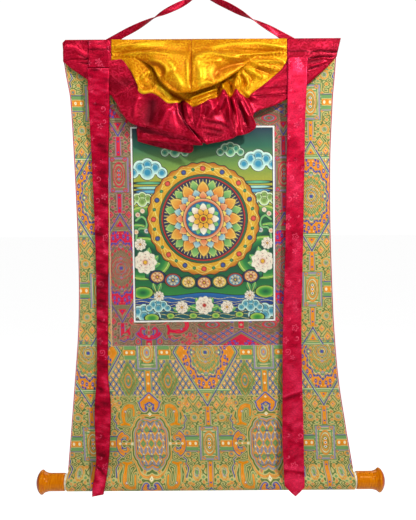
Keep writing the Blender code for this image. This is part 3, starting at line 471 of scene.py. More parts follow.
def grid_object(name, points, cloth, material, fields=None):
    """A mesh from an array of points (rows, columns, 3), with cloth (rows, columns, 2) in mm."""
    rows, columns = points.shape[:2]
    index = np.arange(rows * columns).reshape(rows, columns)
    quads = np.stack([index[:-1, :-1], index[1:, :-1], index[1:, 1:], index[:-1, 1:]], -1)
    quads = quads.reshape(-1, 4)
    mesh = bpy.data.meshes.new(name)
    mesh.vertices.add(rows * columns)
    mesh.vertices.foreach_set("co", points.astype(np.float32).ravel())
    mesh.loops.add(quads.size)
    mesh.loops.foreach_set("vertex_index", quads.astype(np.int32).ravel())
    mesh.polygons.add(len(quads))
    mesh.polygons.foreach_set("loop_start", np.arange(0, quads.size, 4, dtype=np.int32))
    mesh.update(calc_edges=True)
    layer = mesh.uv_layers.new(name="cloth")
    flat = (cloth.reshape(-1, 2) * MM)[quads.ravel()]
    layer.data.foreach_set("uv", flat.astype(np.float32).ravel())
    for key, value in (fields or {}).items():
        kind, slot = ("FLOAT_VECTOR", "vector") if value.shape[-1] == 3 else ("FLOAT", "value")
        field = mesh.attributes.new(key, kind, "POINT")
        field.data.foreach_set(slot, value.astype(np.float32).ravel())
    mesh.shade_smooth()
    mesh.materials.append(material)
    made = bpy.data.objects.new(name, mesh)
    bpy.context.scene.collection.objects.link(made)
    return made


def thicken(made, thick):
    solidify = made.modifiers.new("thickness", "SOLIDIFY")
    solidify.thickness = thick * MM
    solidify.offset = 0.0


def weld(made, fill=False):
    """Joins the seams of a closed grid, fills its ends if asked, and turns its faces outwards."""
    bm = bmesh.new()
    bm.from_mesh(made.data)
    bmesh.ops.remove_doubles(bm, verts=bm.verts, dist=1e-6)
    if fill:
        bmesh.ops.holes_fill(bm, edges=bm.edges)
    bmesh.ops.recalc_face_normals(bm, faces=bm.faces)
    bm.to_mesh(made.data)
    bm.free()


def place_piece(made, slot, node):
    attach(made, "root")
    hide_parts(node)


# materials

class Value:
    """A node's output, to count with as with a number or a vector."""

    def __init__(self, nodes, socket):
        self.nodes, self.socket = nodes, socket

    def count(self, operation, other=0.0):
        kind = "VectorMath" if self.socket.type == "VECTOR" else "Math"
        return self.nodes.add(kind, operation=operation, i0=self, i1=other)

    def __add__(self, other):
        return self.count("ADD", other)

    def __sub__(self, other):
        return self.count("SUBTRACT", other)

    def __mul__(self, other):
        return self.count("MULTIPLY", other)


class Nodes:
    """A short way to write the nodes of a material or a world."""

    def __init__(self, owner):
        if isinstance(owner, str):
            owner = bpy.data.materials.new(owner)
        owner.use_nodes = True
        self.owner, self.tree = owner, owner.node_tree

    def make(self, kind, **values):
        """A node with its settings and its inputs; i0 is the first input."""
        node = self.tree.nodes.new("ShaderNode" + kind)
        for key, value in values.items():
            if hasattr(node, key):
                setattr(node, key, value)
            else:
                key = int(key[1:]) if key[1:].isdigit() else key.replace("_", " ")
                self.set(node.inputs[key], value)
        return node

    def add(self, kind, out=0, **values):
        return Value(self, self.make(kind, **values).outputs[out])

    def set(self, socket, value):
        if isinstance(value, Value):
            self.tree.links.new(value.socket, socket)
        elif isinstance(value, tuple) and socket.type == "RGBA":
            socket.default_value = (*value, 1.0)
        else:
            socket.default_value = value

    def split(self, vector):
        node = self.make("SeparateXYZ", Vector=vector)
        return [Value(self, socket) for socket in node.outputs]

    def ramp(self, value, low=0.3, high=0.7, start=0.0, end=1.0):
        return self.add("MapRange", Value=value, From_Min=low, From_Max=high, To_Min=start,
                        To_Max=end)

    def mix(self, share, a, b, blend_type="MIX"):
        return self.add("Mix", out=2, data_type="RGBA", blend_type=blend_type,
                        clamp_result=False, i0=share, i6=a, i7=b)

    def times(self, a, b):
        return self.mix(1.0, a, b, "MULTIPLY")

    def choose(self, share, a, b):
        return self.add("Mix", data_type="FLOAT", i0=share, i2=a, i3=b)

    def cloth(self):
        """The cloth coordinates in mm."""
        uv = self.add("UVMap", uv_map="cloth")
        return self.add("VectorMath", operation="SCALE", i0=uv, Scale=1.0 / MM)

    def field(self, name):
        return self.split(self.add("Attribute", out=1, attribute_name=name))

    def noise(self, vector, scale, detail=2.0):
        return self.add("TexNoise", Vector=vector, Scale=scale, Detail=detail)

    def bump(self, height, strength, distance=MM):
        return self.add("Bump", Strength=strength, Distance=distance, Height=height)

    def finish(self, colour, roughness, **inputs):
        shader = self.tree.nodes["Principled BSDF"]
        for key, value in {"Base_Color": colour, "Roughness": roughness, **inputs}.items():
            self.set(shader.inputs[key.replace("_", " ")], value)
        return self.owner


def sine(value):
    return value.count("SINE")


def srgb(colour):
    """A colour as a picture shows it, 0 to 255, as linear light."""
    def linear(v):
        v /= 255
        return v / 12.92 if v <= 0.04045 else ((v + 0.055) / 1.055) ** 2.4
    return tuple(linear(v) for v in colour)


def thread_height(n, place, count):
    """Over and under of a plain weave with count threads a mm each way."""
    warp, weft = (sine(v * (math.pi * count)) for v in n.split(place)[:2])
    return warp * weft


def brocade_material(name, *colours):
    """Figured silk: the chart's fields are distances in mm, and each thread colour shows above 0."""
    ground, light, green, orange, cream, lilac, blue = map(srgb, colours)
    n = Nodes(name)
    place = n.cloth()
    in_green, in_orange, in_cream = n.field("chart_a")
    in_lilac, in_blue, outside = n.field("chart_b")
    wobble = (n.noise(place, 1.6, 1.0) - 0.5) * 0.7
    thread = thread_height(n, place, 1.1)

    def shows(distance, soft=0.35):
        return n.ramp(distance + wobble, -soft, soft)

    echo = sine(outside * (2 * math.pi / 3.2))
    x, z, _ = n.split(place)
    fret = sine((x + z) * 1.8) * sine((x - z) * 1.8)
    inlay = sine(in_orange * (2 * math.pi / 3.0))
    lines = n.choose(n.ramp(outside, 9.0, 12.0), echo, fret)
    patch = n.noise(place, 0.09)
    colour = n.mix(n.ramp(lines, -0.35, 0.35), ground, light)
    colour = n.mix(n.ramp(lines + patch * 1.4, 1.62, 1.80), colour, orange)
    figure = n.mix(n.ramp(inlay, 0.1, 0.8) * 0.12, orange, cream)
    figure = n.mix(n.ramp(patch, 0.4, 0.65) * 0.5, figure, tuple(0.72 * v for v in orange))
    for distance, tint in ((in_green, green), (in_orange, figure), (in_cream, cream),
                           (in_lilac, lilac), (in_blue, blue)):
        colour = n.mix(shows(distance), colour, tint)
    grain = n.noise(place * (0.6, 2.4, 1.0), 1.0)
    colour = n.times(colour, n.ramp(grain, 0.3, 0.7, 0.80, 1.16))
    colour = n.times(colour, n.ramp(thread, -1, 1, 0.88, 1.08))
    raised = shows(in_orange, 0.8).count("MAXIMUM", shows(in_blue, 0.8))
    return n.finish(colour, n.ramp(grain, 0.3, 0.7, 0.46, 0.62),
                    Normal=n.bump(thread * 0.10 + raised * 0.22, 0.7), Sheen_Weight=0.02,
                    Sheen_Roughness=0.4, Specular_IOR_Level=0.12)


def cells(n, place, size, scatter):
    """Spots about size mm apart: how far a point is from its spot, its turn, the spot's lot."""
    scaled = n.add("VectorMath", operation="SCALE", i0=place, Scale=1.0 / size)
    made = n.make("TexVoronoi", Vector=scaled, Scale=1.0, Randomness=scatter)
    away, lot, centre = (Value(n, made.outputs[k]) for k in ("Distance", "Color", "Position"))
    x, y, _ = n.split(scaled - centre)
    return away, y.count("ARCTAN2", x), lot


def damask_mask(n, place, size):
    """Curls and small frets in rows, as woven in tonal silk."""
    away, turn, _ = cells(n, place, size, 0.55)
    curl = sine(away * 15.0 + turn * 2.0)
    leaves = sine(turn * 5.0 + away * 7.0)
    mixed = n.choose(n.ramp(away, 0.30, 0.36), curl, leaves)
    worn = n.ramp(n.noise(place, 0.045, 1.0), 0.38, 0.62, 0.25, 1.0)
    return n.ramp(mixed, -0.3, 0.45) * worn


def spray_mask(n, place, size):
    """Outlined blossoms and curls scattered over a ribbon, with bare places between."""
    away, turn, lot = cells(n, place, size, 0.7)
    pick, bare, _ = n.split(lot)
    petals = (turn * 5.0).count("COSINE") * 0.08 + 0.29
    off = (away - petals).count("ABSOLUTE")
    blossom = n.ramp(off, 0.03, 0.075, 1, 0).count("MAXIMUM", n.ramp(away, 0.05, 0.09, 1, 0))
    curl = n.ramp(sine(away * 26.0 + turn), 0.3, 0.8) * n.ramp(away, 0.34, 0.40, 1, 0)
    shown = n.ramp(bare, 0.12, 0.14) * n.ramp(n.noise(place, 0.12), 0.24, 0.38)
    return n.choose(n.ramp(pick, 0.49, 0.51), blossom, curl) * shown


def satin(name, colours, tint, size, figure, metal, rough=(0.30, 0.43), mask_of=damask_mask,
          crinkle_shade_range=(0.84, 1.16)):
    """Tonal damask silk: a shiny ground with a duller figure, with painted highlight and painted shade in
    its folds.
    """
    deep, base, bright, shade_and_figure_dark, painted_highlight_colour = map(srgb, colours)
    n = Nodes(name)
    place = n.cloth()
    mask = mask_of(n, place, size)
    grain = n.noise(place * (0.5, 3.0, 1.0), 1.0)
    colour = n.mix(n.ramp(n.noise(place, 0.035), 0.35, 0.65), base, deep)
    colour = n.mix(mask * figure, colour, bright)
    # the spray's dark figure takes the same dark colour that paints the shade of the folds
    if mask_of is spray_mask:
        dark = spray_mask(n, place + (310, 170, 0), size * 0.7)
        colour = n.mix(dark * figure, colour, shade_and_figure_dark)
    # the fold attribute: painted highlight (above 0) and painted shade (below 0) of the folds, mixed into
    # the colour
    fold = n.add("Attribute", out=2, attribute_name="fold")
    colour = n.mix(n.ramp(fold, 0, 1, 0, 0.9), colour, painted_highlight_colour)
    colour = n.mix(n.ramp(fold, 0, -1, 0, 0.9), colour, shade_and_figure_dark)
    colour = n.times(colour, n.ramp(grain, 0.3, 0.7, 0.90, 1.08))
    # the colour goes darker and lighter with the crinkles: painted shade and highlight of the crinkles,
    # which also bump the cloth
    crinkle = n.noise(place * (0.22, 0.42, 1.0), 1.0, 3.0)
    colour = n.times(colour, n.ramp(crinkle, 0.32, 0.68, *crinkle_shade_range))
    roughness = n.ramp(mask, 0, 1, *rough) + n.ramp(grain, 0.3, 0.7, -0.04, 0.04)
    crumple = n.noise(place, 0.045) + n.noise(place, 0.2) * 0.3
    height = thread_height(n, place, 1.5) * 0.02 + mask * 0.015 + crumple * 0.5 + crinkle * 0.34
    return n.finish(colour, roughness, Normal=n.bump(height, 0.6), Metallic=metal,
                    Specular_Tint=tint, Specular_IOR_Level=0.5)


def backing(name, colour, dark):
    """Plain cotton or the dull reverse of a silk."""
    n = Nodes(name)
    place = n.cloth()
    thread = thread_height(n, place, 1.0)
    slub = n.noise(place * (0.12, 1.2, 1.0), 1.0, 3.0)
    mixed = n.times(n.mix(n.ramp(slub), srgb(colour), srgb(dark)),
                    n.ramp(thread, -1, 1, 0.9, 1.06))
    return n.finish(mixed, n.ramp(slub, 0.3, 0.7, 0.75, 0.9),
                    Normal=n.bump(thread * 0.12 + slub * 0.5, 0.6), Specular_IOR_Level=0.3)


def canvas_material():
    n = Nodes("painted_canvas")
    place = n.cloth()
    paint = n.add("Attribute", attribute_name="paint")
    ink, gold, _ = n.field("lines")
    thread = thread_height(n, place, 1.2)
    wash = n.noise(place, 0.25, 3.0)
    brush = (n.noise(place, 0.9) - 0.5) * 0.5
    for line, colour in ((ink, (24, 30, 40)), (gold, (246, 216, 130))):
        paint = n.mix(n.ramp(line + brush, -0.25, 0.25), paint, srgb(colour))
    paint = n.times(paint, n.ramp(thread, -1, 1, 0.94, 1.04))
    paint = n.times(paint, n.ramp(wash, 0.3, 0.7, 0.80, 0.94))
    paint = n.times(paint, (0.82, 0.94, 0.78))
    return n.finish(paint, n.ramp(wash, 0.3, 0.7, 0.5, 0.7),
                    Normal=n.bump(thread, 0.3, MM * 0.1), Specular_IOR_Level=0.4)


def lacquer_material():
    n = Nodes("amber_lacquer")
    place = n.add("TexCoord", out=3)
    grain = n.noise(place * (60, 60, 420), 1.0, 3.0)
    along = n.split(place)[2]
    colour = n.mix(n.ramp(grain), srgb((216, 128, 0)), srgb((184, 88, 0)))
    colour = n.mix(n.ramp(along, 0.050, 0.056), colour, srgb((176, 44, 0)))
    height = n.noise(place, 90.0)
    return n.finish(colour, n.ramp(height, 0.3, 0.7, 0.10, 0.2), Normal=n.bump(height, 0.12),
                    Coat_Weight=0.12, Coat_Roughness=0.05, Specular_IOR_Level=0.3,
                    Specular_Tint=(1.0, 0.6, 0.2))


def wood_material():
    n = Nodes("roller_wood")
    grain = n.noise(n.add("TexCoord", out=3) * (30, 420, 420), 1.0, 3.0)
    colour = n.mix(n.ramp(grain), srgb((236, 228, 206)), srgb((205, 188, 150)))
    return n.finish(colour, n.ramp(grain, 0.3, 0.7, 0.5, 0.7), Normal=n.bump(grain, 0.3))


# the brocade's chart

class Chart:
    """Shapes laid one over another. Each layer keeps how far, in mm, a point is inside it."""

    def __init__(self, x, y):
        self.x, self.y = x, y
        self.layers = np.full((6, *x.shape), -20.0)

    def put(self, layer, inside):
        """Lays a shape on top. Layer 0 keeps where any thread shows; putting it clears the rest."""
        if layer:
            self.layers[[0, layer]] = np.maximum(self.layers[[0, layer]], inside)
        self.layers[layer + 1:] = np.minimum(self.layers[layer + 1:], -inside)

    def disc(self, cx, cy, r):
        return r - np.hypot(self.x - cx, self.y - cy)

    def ellipse(self, cx, cy, a, b):
        return (1 - np.hypot((self.x - cx) / a, (self.y - cy) / b)) * min(a, b)

    def box(self, cx, cy, a, b):
        return np.minimum(a - abs(self.x - cx), b - abs(self.y - cy))

    def diamond(self, cx, cy, a, b):
        shape = 1 - abs(self.x - cx) / a - abs(self.y - cy) / b
        return shape * a * b / math.hypot(a, b)

    def rounded(self, cx, cy, a, b, r):
        """A box with round corners."""
        across, down = abs(self.x - cx) - a + r, abs(self.y - cy) - b + r
        corner = np.hypot(np.maximum(across, 0), np.maximum(down, 0))
        return r - corner - np.minimum(np.maximum(across, down), 0)

    def line(self, r, *numbers):
        return r - abs(from_line(numbers, self.x, self.y)[0])

    def fields(self):
        b = np.stack([*self.layers[4:], -self.layers[0]], -1)
        return {"chart_a": np.stack(self.layers[1:4], -1), "chart_b": b}


def brocade_chart(x, y):
    """The repeat of the brocade, from a lozenge's centre; it mirrors both ways."""
    x = abs(x - REPEAT_X * np.round(x / REPEAT_X))
    y = abs(y - REPEAT_Y * np.round(y / REPEAT_Y))
    c = Chart(x, y)
    disc, ellipse, box, diamond, line = c.disc, c.ellipse, c.box, c.diamond, c.line
    ground, green, orange, cream, lilac, blue = (partial(c.put, k) for k in range(6))
    mid, low = REPEAT_X / 2, REPEAT_Y / 2

    def lay(shape, *rows):
        """Puts a shape down grown by one number, or its ring by two: how wide, how deep."""
        for put, *size in rows:
            put(shape + size[0] if len(size) == 1 else ring(shape, *size))

    def keep(region, *rows):
        """Puts shapes down only inside a region."""
        for put, shape in rows:
            put(np.minimum(region, shape))

    def spots(places, *rows):
        for px, py in places:
            for put, r in rows:
                put(disc(px, py, r))

    def framed_box(cx, cy, a, b):
        lay(box(cx, cy, a, b), (ground, 3.4), (green, 1.6, -1.6), (lilac, 3.2, 1.6),
            (cream, 1.1, 4.5), (green, 2.0, 6.6))
        for up in (-1, 1):
            cream(box(cx, cy + up * (b - 10.0), a - 8, 0.7))
            green(box(cx, cy + up * (b - 12.6), a - 8, 1.3))

    # the lattice beside the lozenge, with a diamond of its own
    lozenge = diamond(0, 0, 69.3, 116.5)
    region = np.minimum.reduce([-lozenge - 3, 92 - y, y - 16, mid - 8 - x])
    u, v = x / 12.5 + y / 19, x / 12.5 - y / 19
    du, dv = abs(u - np.round(u)), abs(v - np.round(v))
    cell = np.minimum(du, dv) * 10.4
    keep(region, (orange, cell - 2.5), (blue, 0.95 - cell),
         (cream, 1.3 - 10.4 * np.maximum(abs(du - 0.5), abs(dv - 0.5))))
    lay(diamond(81.5, 60, 20, 38), (ground, 3), (green, 1.6, 0.6), (orange, 1.2, 3.4),
        (green, 1.4, 6.2))
    lay(ellipse(81.5, 60, 7.5, 15), (orange, 1.8, 0.4), (lilac, 1.2, 2.6), (green, 1.2, 4.4),
        (orange, -5.8))
    for px, py in ((47, 102), (51, 108.5), (55, 115), (59, 121.5)):
        orange(diamond(px, py, 3.6, 3.6))
        cream(disc(px, py, 1.1))

    # the lozenge
    ground(lozenge + 3)
    keep(lozenge - 6.4, (orange, 77 - y))
    keep(lozenge - 8.0, (orange, y - 85.5))
    blue(disc(0, 91, 1.8))
    round_it = np.arctan2(y / 58, x / 36)
    away = np.hypot(x / 36, y / 58)
    twelfth, twentieth = (abs((round_it / (math.pi / k)) % 1 - 0.5) * math.pi / k for k in (6, 10))

    def knot(at, across):
        """Dots round an oval at a share of its radius, across mm off their middle."""
        return -np.hypot((away - at) * 36, across)

    lay(knot(1.16, twelfth * 42 - 4.6), (blue, 2.9), (cream, 1.0))
    lay(knot(1.32, twelfth * 42 - 2.6), (blue, 2.0))
    lay(knot(1.26, twelfth * 42 - 7.4), (cream, 0.9))
    edge = (1 + 0.055 * np.cos(12 * round_it) - away) * 36
    lay(edge, (ground, 0), (blue, 2.4 + 1.5 * np.cos(36 * round_it), 1.2), (orange, 1.3, 3.6),
        (cream, 0.9, 4.9))
    lay(knot(0.83, twelfth * 30 - 5.0), (blue, 1.8))
    lay(edge, (green, 2.0, 7.4))
    lay(knot(0.70, twentieth * 28 - 1.2), (orange, 1.8))
    lay(knot(0.58, twentieth * 26 - 3.2), (green, 1.5))
    turn, far = np.arctan2(y, x), np.hypot(x, y * 0.92)
    lay(21.5 * (1 + 0.06 * np.cos(16 * turn)) - far, (orange, 1.8, 0))
    lay(-far, (cream, 0.9, -18.0))
    lay(14.6 * (1 + 0.13 * np.cos(8 * turn)) - far, (orange, 1.8, 0))
    lay(-far, (lilac, 1.3, -10.4), (orange, 1.6, -7.6), (cream, 1.0, -5.2), (blue, 3.4))
    for py in (20, 44):
        lilac(diamond(0, py, 4.2, 3.4))
        cream(disc(0, py, 1.0))
    lay(disc(28, 0, 5.0), (blue, 1.5, 0))
    cream(disc(28, 0, 1.8))
    for put, py, a, b in ((green, 80.5, 50, 2.6), (cream, 79.6, 50, 0.8), (green, 86.0, 46, 0.9)):
        put(box(0, py, a, b))
    lay(lozenge, (blue, 2.3, 1.1), (cream, 0.9, 3.3), (green, 1.2, 4.8))

    # bars, boxes and what stands between them
    lilac(box(0, 136.5, 5.6, 19.5))
    orange(box(0, 136.5, 4.0, 20.5))
    spots(((0, 126), (0, 148)), (blue, 1.9))
    for sign in (-1, 1):
        green(box(36, low + sign * 11.2, 17, 3.2))
        blue(box(38, low + sign * 16.4, 18, 0.9))
    orange(box(36, low, 17, 6.0))
    for px in (29, 41):
        cream(ellipse(px, low, 2.6, 3.6))
        lilac(disc(px, low, 0.9))
    framed_box(0, low, 20.5, 36)
    oval = ellipse(0, low, 13, 27)
    ground(oval)
    lay(oval * (1 + 0.05 * np.cos(14 * np.arctan2(y - low, x))), (orange, 1.8, 1.0))
    lay(oval, (cream, 1.0, 3.0), (orange, 1.6, 5.0), (green, 1.0, 7.0))
    orange(ellipse(0, low, 4.4, 12))
    for py in (low, low - 8.5):
        cream(diamond(0, py, 4.0, 3.6))
        blue(disc(0, py, 1.8))

    claw = np.minimum.reduce([ellipse(69, low, 19, 28), -ellipse(76, low, 17, 24),
                              (62 + (28 - (low - y)) * 0.8 - x) * 0.78])
    lay(claw, (blue, 1.5), (orange, 0))
    curl = line(2.2, 58, low - 12, 64, low - 17, 71, low - 17.5, 75, low - 13, 72, low - 9)
    lay(curl, (blue, 1.0), (orange, 0))
    blue(line(1.0, 62, low - 8, 67, low - 11, 70, low - 8))
    orange(box(71, low, 10, 1.4))
    for px, size in ((57.5, 2.8), (70, 1.8), (82.5, 2.8)):
        spots([(px, low)], (cream, size), (lilac, size * 0.4))

    medallion = np.maximum.reduce([c.rounded(mid, low, 35.5, 31, 9),
                                   disc(mid - 10.5, low - 36, 17.5), disc(mid - 24, low - 26, 10)])
    keep(x - 82, (orange, ring(medallion, 2.2, -7.5)))
    lay(medallion, (ground, 2.5), (lilac, 2.0, 0.8), (orange, 2.3, 3.2), (blue, 1.2, 5.2),
        (orange, -6.4))
    within = medallion - 6.4
    rows = []
    for shift_x, shift_y in ((0, 0), (8.5, 30)):
        px, py = x - mid - shift_x, y - low - shift_y
        px, py = abs(px - 17 * np.round(px / 17)), abs(py - 60 * np.round(py / 60))
        rows.append((px, py, py + 1.5 * px))
    band = np.minimum(rows[0][2], rows[1][2])
    slope = 0.555  # mm across a band for each step of its value
    keep(within, (green, (8.6 - band) * slope), (orange, (2.0 - band) * slope),
         (cream, 0.4 - abs(band - 13.8) * slope))
    for px, py, far in rows:
        bead = np.maximum((1 - np.hypot((far - 18.0) * slope / 1.7, (px - 4.25) / 3.2)) * 1.7,
                          (1 - np.hypot((px - 8.5) / 1.7, py / 4.6)) * 1.7)
        keep(within, (green, bead + 0.3), (lilac, bead), (blue, bead - 1.0),
             (cream, 1.5 - np.hypot(px - 8.5, py - 7.0)), (cream, 1.1 - np.hypot(px, py - 21.4)))
    cream(diamond(mid, low - 63, 4.2, 4.2))
    lilac(disc(mid, low - 63, 1.3))

    # the crown over the medallion, and the scroll beside it
    crown = np.minimum(diamond(mid, 107, 21, 20), 110 - y)
    crown = np.maximum(crown, line(4.2, mid - 14.5, 107, mid - 15, 113, mid - 11, 120))
    crown = np.minimum(crown, -disc(mid, 115, 9.0))
    lay(crown, (lilac, 3.2), (blue, 2.0), (orange, 0))
    spots([(mid, 95.5)], (cream, 2.3), (lilac, 0.9))
    lay(diamond(mid, 111, 6.5, 6.5), (blue, 1.7, 0.8))
    orange(disc(mid, 111, 1.8))
    blue(disc(mid - 8.0, 119, 2.7))
    scroll = np.maximum.reduce([
        line(4.4, 87, 115, 80, 113.6, 73, 117, 68, 126, 67, 136),
        line(3.5, 67, 136, 67.5, 144, 69, 151), line(3.0, 62.5, 154, 71, 151.5, 79, 154.5),
        line(2.3, 87, 115, 90, 123, 89, 135)])
    lay(scroll, (green, 1.5), (orange, 0))
    spots([(72, 126)], (blue, 2.9), (cream, 1.7))
    blue(line(1.1, 50, 134, 46, 143, 52, 151, 50, 160, 57, 166))
    orange(line(1.0, 55, 128, 52, 138, 58, 147, 56, 156))

    # the boxes in the lozenges' row, their bars, and small flowers
    green(box(90, 10.5, 14, 3.8))
    orange(box(88, 0, 14, 5.6))
    for px in (81, 92):
        cream(ellipse(px, 0, 2.6, 3.2))
        lilac(disc(px, 0, 0.9))
    for put, a, b in ((lilac, 8.6, 24), (green, 6.8, 25), (orange, 4.8, 25)):
        put(box(mid, 60, a, b))
    spots([(mid, 47), (mid, 66)], (cream, 2.3), (lilac, 0.9))
    framed_box(mid, 0, 21.5, 36)
    lay(ellipse(mid, 0, 14.5, 23), (orange, 2.0, 1.0), (cream, 1.0, 3.2), (orange, 2.0, 5.4),
        (cream, 0.9, 7.6))
    lilac(ellipse(mid, 0, 5.0, 7.5))
    orange(ellipse(mid, 0, 2.4, 4.0))
    for px, py, size in ((31, 95, 6.6), (43, 111, 6), (19, 112, 6), (46, 95, 3.6), (12, 100, 3.6)):
        lay(diamond(px, py, size, size * 1.3), (orange, 0), (cream, 0.8, size * 0.38))
        blue(disc(px, py, 1.3))
    for px, py, size in ((29, 139, 8.0), (46, 172, 4.5), (13, 163, 3.5), (60, 108, 3.6)):
        sun = np.hypot(x - px, y - py)
        petals = size * (1 + 0.1 * np.cos(10 * np.arctan2(y - py, x - px)))
        lay(petals - sun, (orange, 2.2, 0))
        lay(-sun, (lilac, 1.3, 0.3 - size * 0.55), (green, size * 0.3))
    for px, py in ((15, 128), (16, 146), (34, 158), (44, 125), (108, 140), (58, 96), (100, 98),
                   (24, 176), (54, 150), (8, 118), (36, 122), (100, 128)):
        orange(diamond(px, py, 3.4, 3.0))
        green(diamond(px, py + 6, 4.2, 1.8))
        blue(disc(px, py, 1.0))
    return c.fields()


# the hanging surface

def hang_out(x, z):
    """How far from the wall the middle of the hanging cloth is."""
    down = np.clip((SLEEVE_BOTTOM - z) / (SLEEVE_BOTTOM - NECK_Z), 0, 1)
    plumb = blend(SLEEVE_THICK / 2, ROLLER_OUT, down)
    free = 4 * down * (1 - down)
    wave = 1.6 * np.sin(x / 52 + 0.6) + 0.9 * np.sin(z / 90 + x / 130)
    return plumb + wave * free


def hung(x, z, proud=0.0):
    return position(x, z, hang_out(x, z) + proud)


def outline_at(z):
    return read_table(OUTLINE, np.maximum(z, NECK_Z))


def border_outer(sign, z):
    hand = "left" if sign < 0 else "right"
    a, b = PAINTING["top_" + hand], PAINTING["bottom_" + hand]
    return blend(a[0], b[0], (z - a[1]) / (b[1] - a[1])) + sign * BORDER_WIDTH


def unit_grid(width, height, step):
    """u across and v down, from 0 to 1, on a grid about step mm apart."""
    u = np.linspace(0, 1, max(2, round(width / step)) + 1)
    v = np.linspace(0, 1, max(2, round(height / step)) + 1)
    return np.meshgrid(u, v)


def inside_corners(corners, u, v):
    """x and z between the two ends of one side and the two ends of the next."""
    a, b, c, d = np.array(corners, float)
    u, v = u[..., None], v[..., None]
    return np.moveaxis(blend(blend(a, b, u), blend(c, d, u), v), -1, 0)


def cloth_area(points):
    """The area of a grid of points, in square metres."""
    a = points[1:, :-1] - points[:-1, :-1]
    b = points[:-1, 1:] - points[:-1, :-1]
    return float(np.linalg.norm(np.cross(a, b), axis=-1).sum())


def with_back(front, points, cloth, material):
    """A coarse back and rim behind a dense front, both of one cloth."""
    rows, columns = (sorted({*range(0, n, BACK_EVERY), n - 1}) for n in points.shape[:2])
    rim = np.ix_([rows[0], *rows, rows[-1]], [columns[0], *columns, columns[-1]])
    behind = points[np.ix_(rows, columns)]
    normal = np.cross(np.gradient(behind, axis=0), np.gradient(behind, axis=1))
    normal /= np.linalg.norm(normal, axis=-1, keepdims=True)
    whole = points[rim]
    whole[1:-1, 1:-1] = behind - normal * CLOTH * MM * np.where(normal[..., 1:2] < 0, 1, -1)
    made = grid_object(front.name + "_back", whole[:, ::-1], cloth[rim][:, ::-1], material)
    made.data.set_sharp_from_angle(angle=math.radians(50))
    made.parent = front
    return made


def brocade_piece(name, width, height, place, chart_at, materials, node, slot, step=1.7,
                  turned=False, slant=0.012):
    x, z, *points = place(*unit_grid(width, height, step))
    points = points[0] if points else hung(x, z, CLOTH / 2)
    cloth = np.stack([x, z], -1)
    chart = (x - chart_at[0] + slant * (z - chart_at[1]), z - chart_at[1])
    fields = brocade_chart(*(chart[::-1] if turned else chart))
    made = grid_object(name, points, cloth, materials[0], fields)
    back = with_back(made, points, cloth, materials[1])
    place_piece(made, slot, node)
    width * MM
    height * MM
    cloth_area(points)


def build_panels(green, crimson, canvas):
    seam = PIPING_WIDTH + GAP
    top_z, bottom_z = PAINTING["top_left"][1] + BORDER_WIDTH, LOWER_SEAM + GAP / 2

    def between(left_of, right_of, bottom):
        """Cloth from the sleeve down to a seam."""
        def place(u, v):
            z = blend(SLEEVE_BOTTOM - GAP / 2, bottom + GAP / 2, v)
            return blend(left_of(z), right_of(z), u), z
        return place

    def lower(u, v):
        """Down the panel, then once round the roller."""
        flat_long = LOWER_SEAM - NECK_Z
        turn = math.acos(CASING_RADIUS / (NECK_Z - ROLLER_Z))
        radius = CASING_RADIUS + CLOTH / 2
        length = v * (flat_long + radius * (2 * math.pi - 2 * turn))
        z = LOWER_SEAM - GAP / 2 - np.minimum(length, flat_long)
        angle = turn + np.maximum(length - flat_long, 0) / radius
        edge_left, edge_right = outline_at(z)
        x = blend(edge_left + seam, edge_right - seam, u)
        casing = position(blend(CASING_LEFT, CASING_RIGHT, u), ROLLER_Z + radius * np.cos(angle),
                          ROLLER_OUT + radius * np.sin(angle))
        near = ease((length - flat_long + 9) / 18)[..., None]
        return x, LOWER_SEAM - length, blend(hung(x, z, CLOTH / 2), casing, near)

    long = SLEEVE_BOTTOM - LOWER_SEAM
    for name, width, height, place, chart_at, node, looks in (
            ("left", 88, long, between(lambda z: outline_at(z)[0] + seam,
                                       lambda z: border_outer(-1, z) - seam, LOWER_SEAM),
             (-219.5, -413), "side_panel_left", {}),
            ("right", 77, long, between(lambda z: border_outer(1, z) + seam,
                                        lambda z: outline_at(z)[1] - seam, LOWER_SEAM),
             (227, -413), "side_panel_right", {}),
            ("top", 394, 101, between(lambda z: border_outer(-1, z),
                                      lambda z: border_outer(1, z), top_z),
             (7.7, -350), "top_panel", {"step": 3.0}),
            ("lower", 600, 381, lower, (2.5, -740), "lower_panel", {"step": 1.75, "slant": 0.040})):
        brocade_piece("brocade_" + name, width, height, place, chart_at, green, node,
                      "green_brocade", **looks)

    outer = {v + h: (border_outer(sign, z), z) for v, z in (("top_", top_z), ("bottom_", bottom_z))
             for h, sign in (("left", -1), ("right", 1))}
    inset = GAP / 2 / BORDER_WIDTH
    for name, start, end, chart_at in (
            ("border_top", "top_left", "top_right", (79.8, -331.5)),
            ("border_right", "top_right", "bottom_right", (172.0, -561)),
            ("border_bottom", "bottom_right", "bottom_left", (79.8, -763)),
            ("border_left", "bottom_left", "top_left", (-172.6, -561))):
        corners = outer[start], outer[end], PAINTING[start], PAINTING[end]
        brocade_piece("brocade_" + name, math.dist(outer[start], outer[end]), 49,
                      lambda u, v: inside_corners(corners, u, blend(inset, 1 - inset, v)),
                      chart_at, crimson, name, "crimson_brocade",
                      turned=name in ("border_top", "border_bottom"))

    u, v = unit_grid(PICTURE_WIDTH, PICTURE_HEIGHT, PICTURE_STEP)
    x, z = inside_corners(list(PAINTING.values()), blend(0.0005, 0.9995, u),
                          blend(0.0004, 0.9996, v))
    points, cloth = hung(x, z, CLOTH / 2), np.stack([x, z], -1)
    fields = painting_fields((u - 0.5) * PICTURE_WIDTH, (0.5 - v) * PICTURE_HEIGHT)
    made = grid_object("painted_picture", points, cloth, canvas[0], fields)
    back = with_back(made, points, cloth, canvas[1])
    place_piece(made, "painted_canvas", "painting")


# the painting

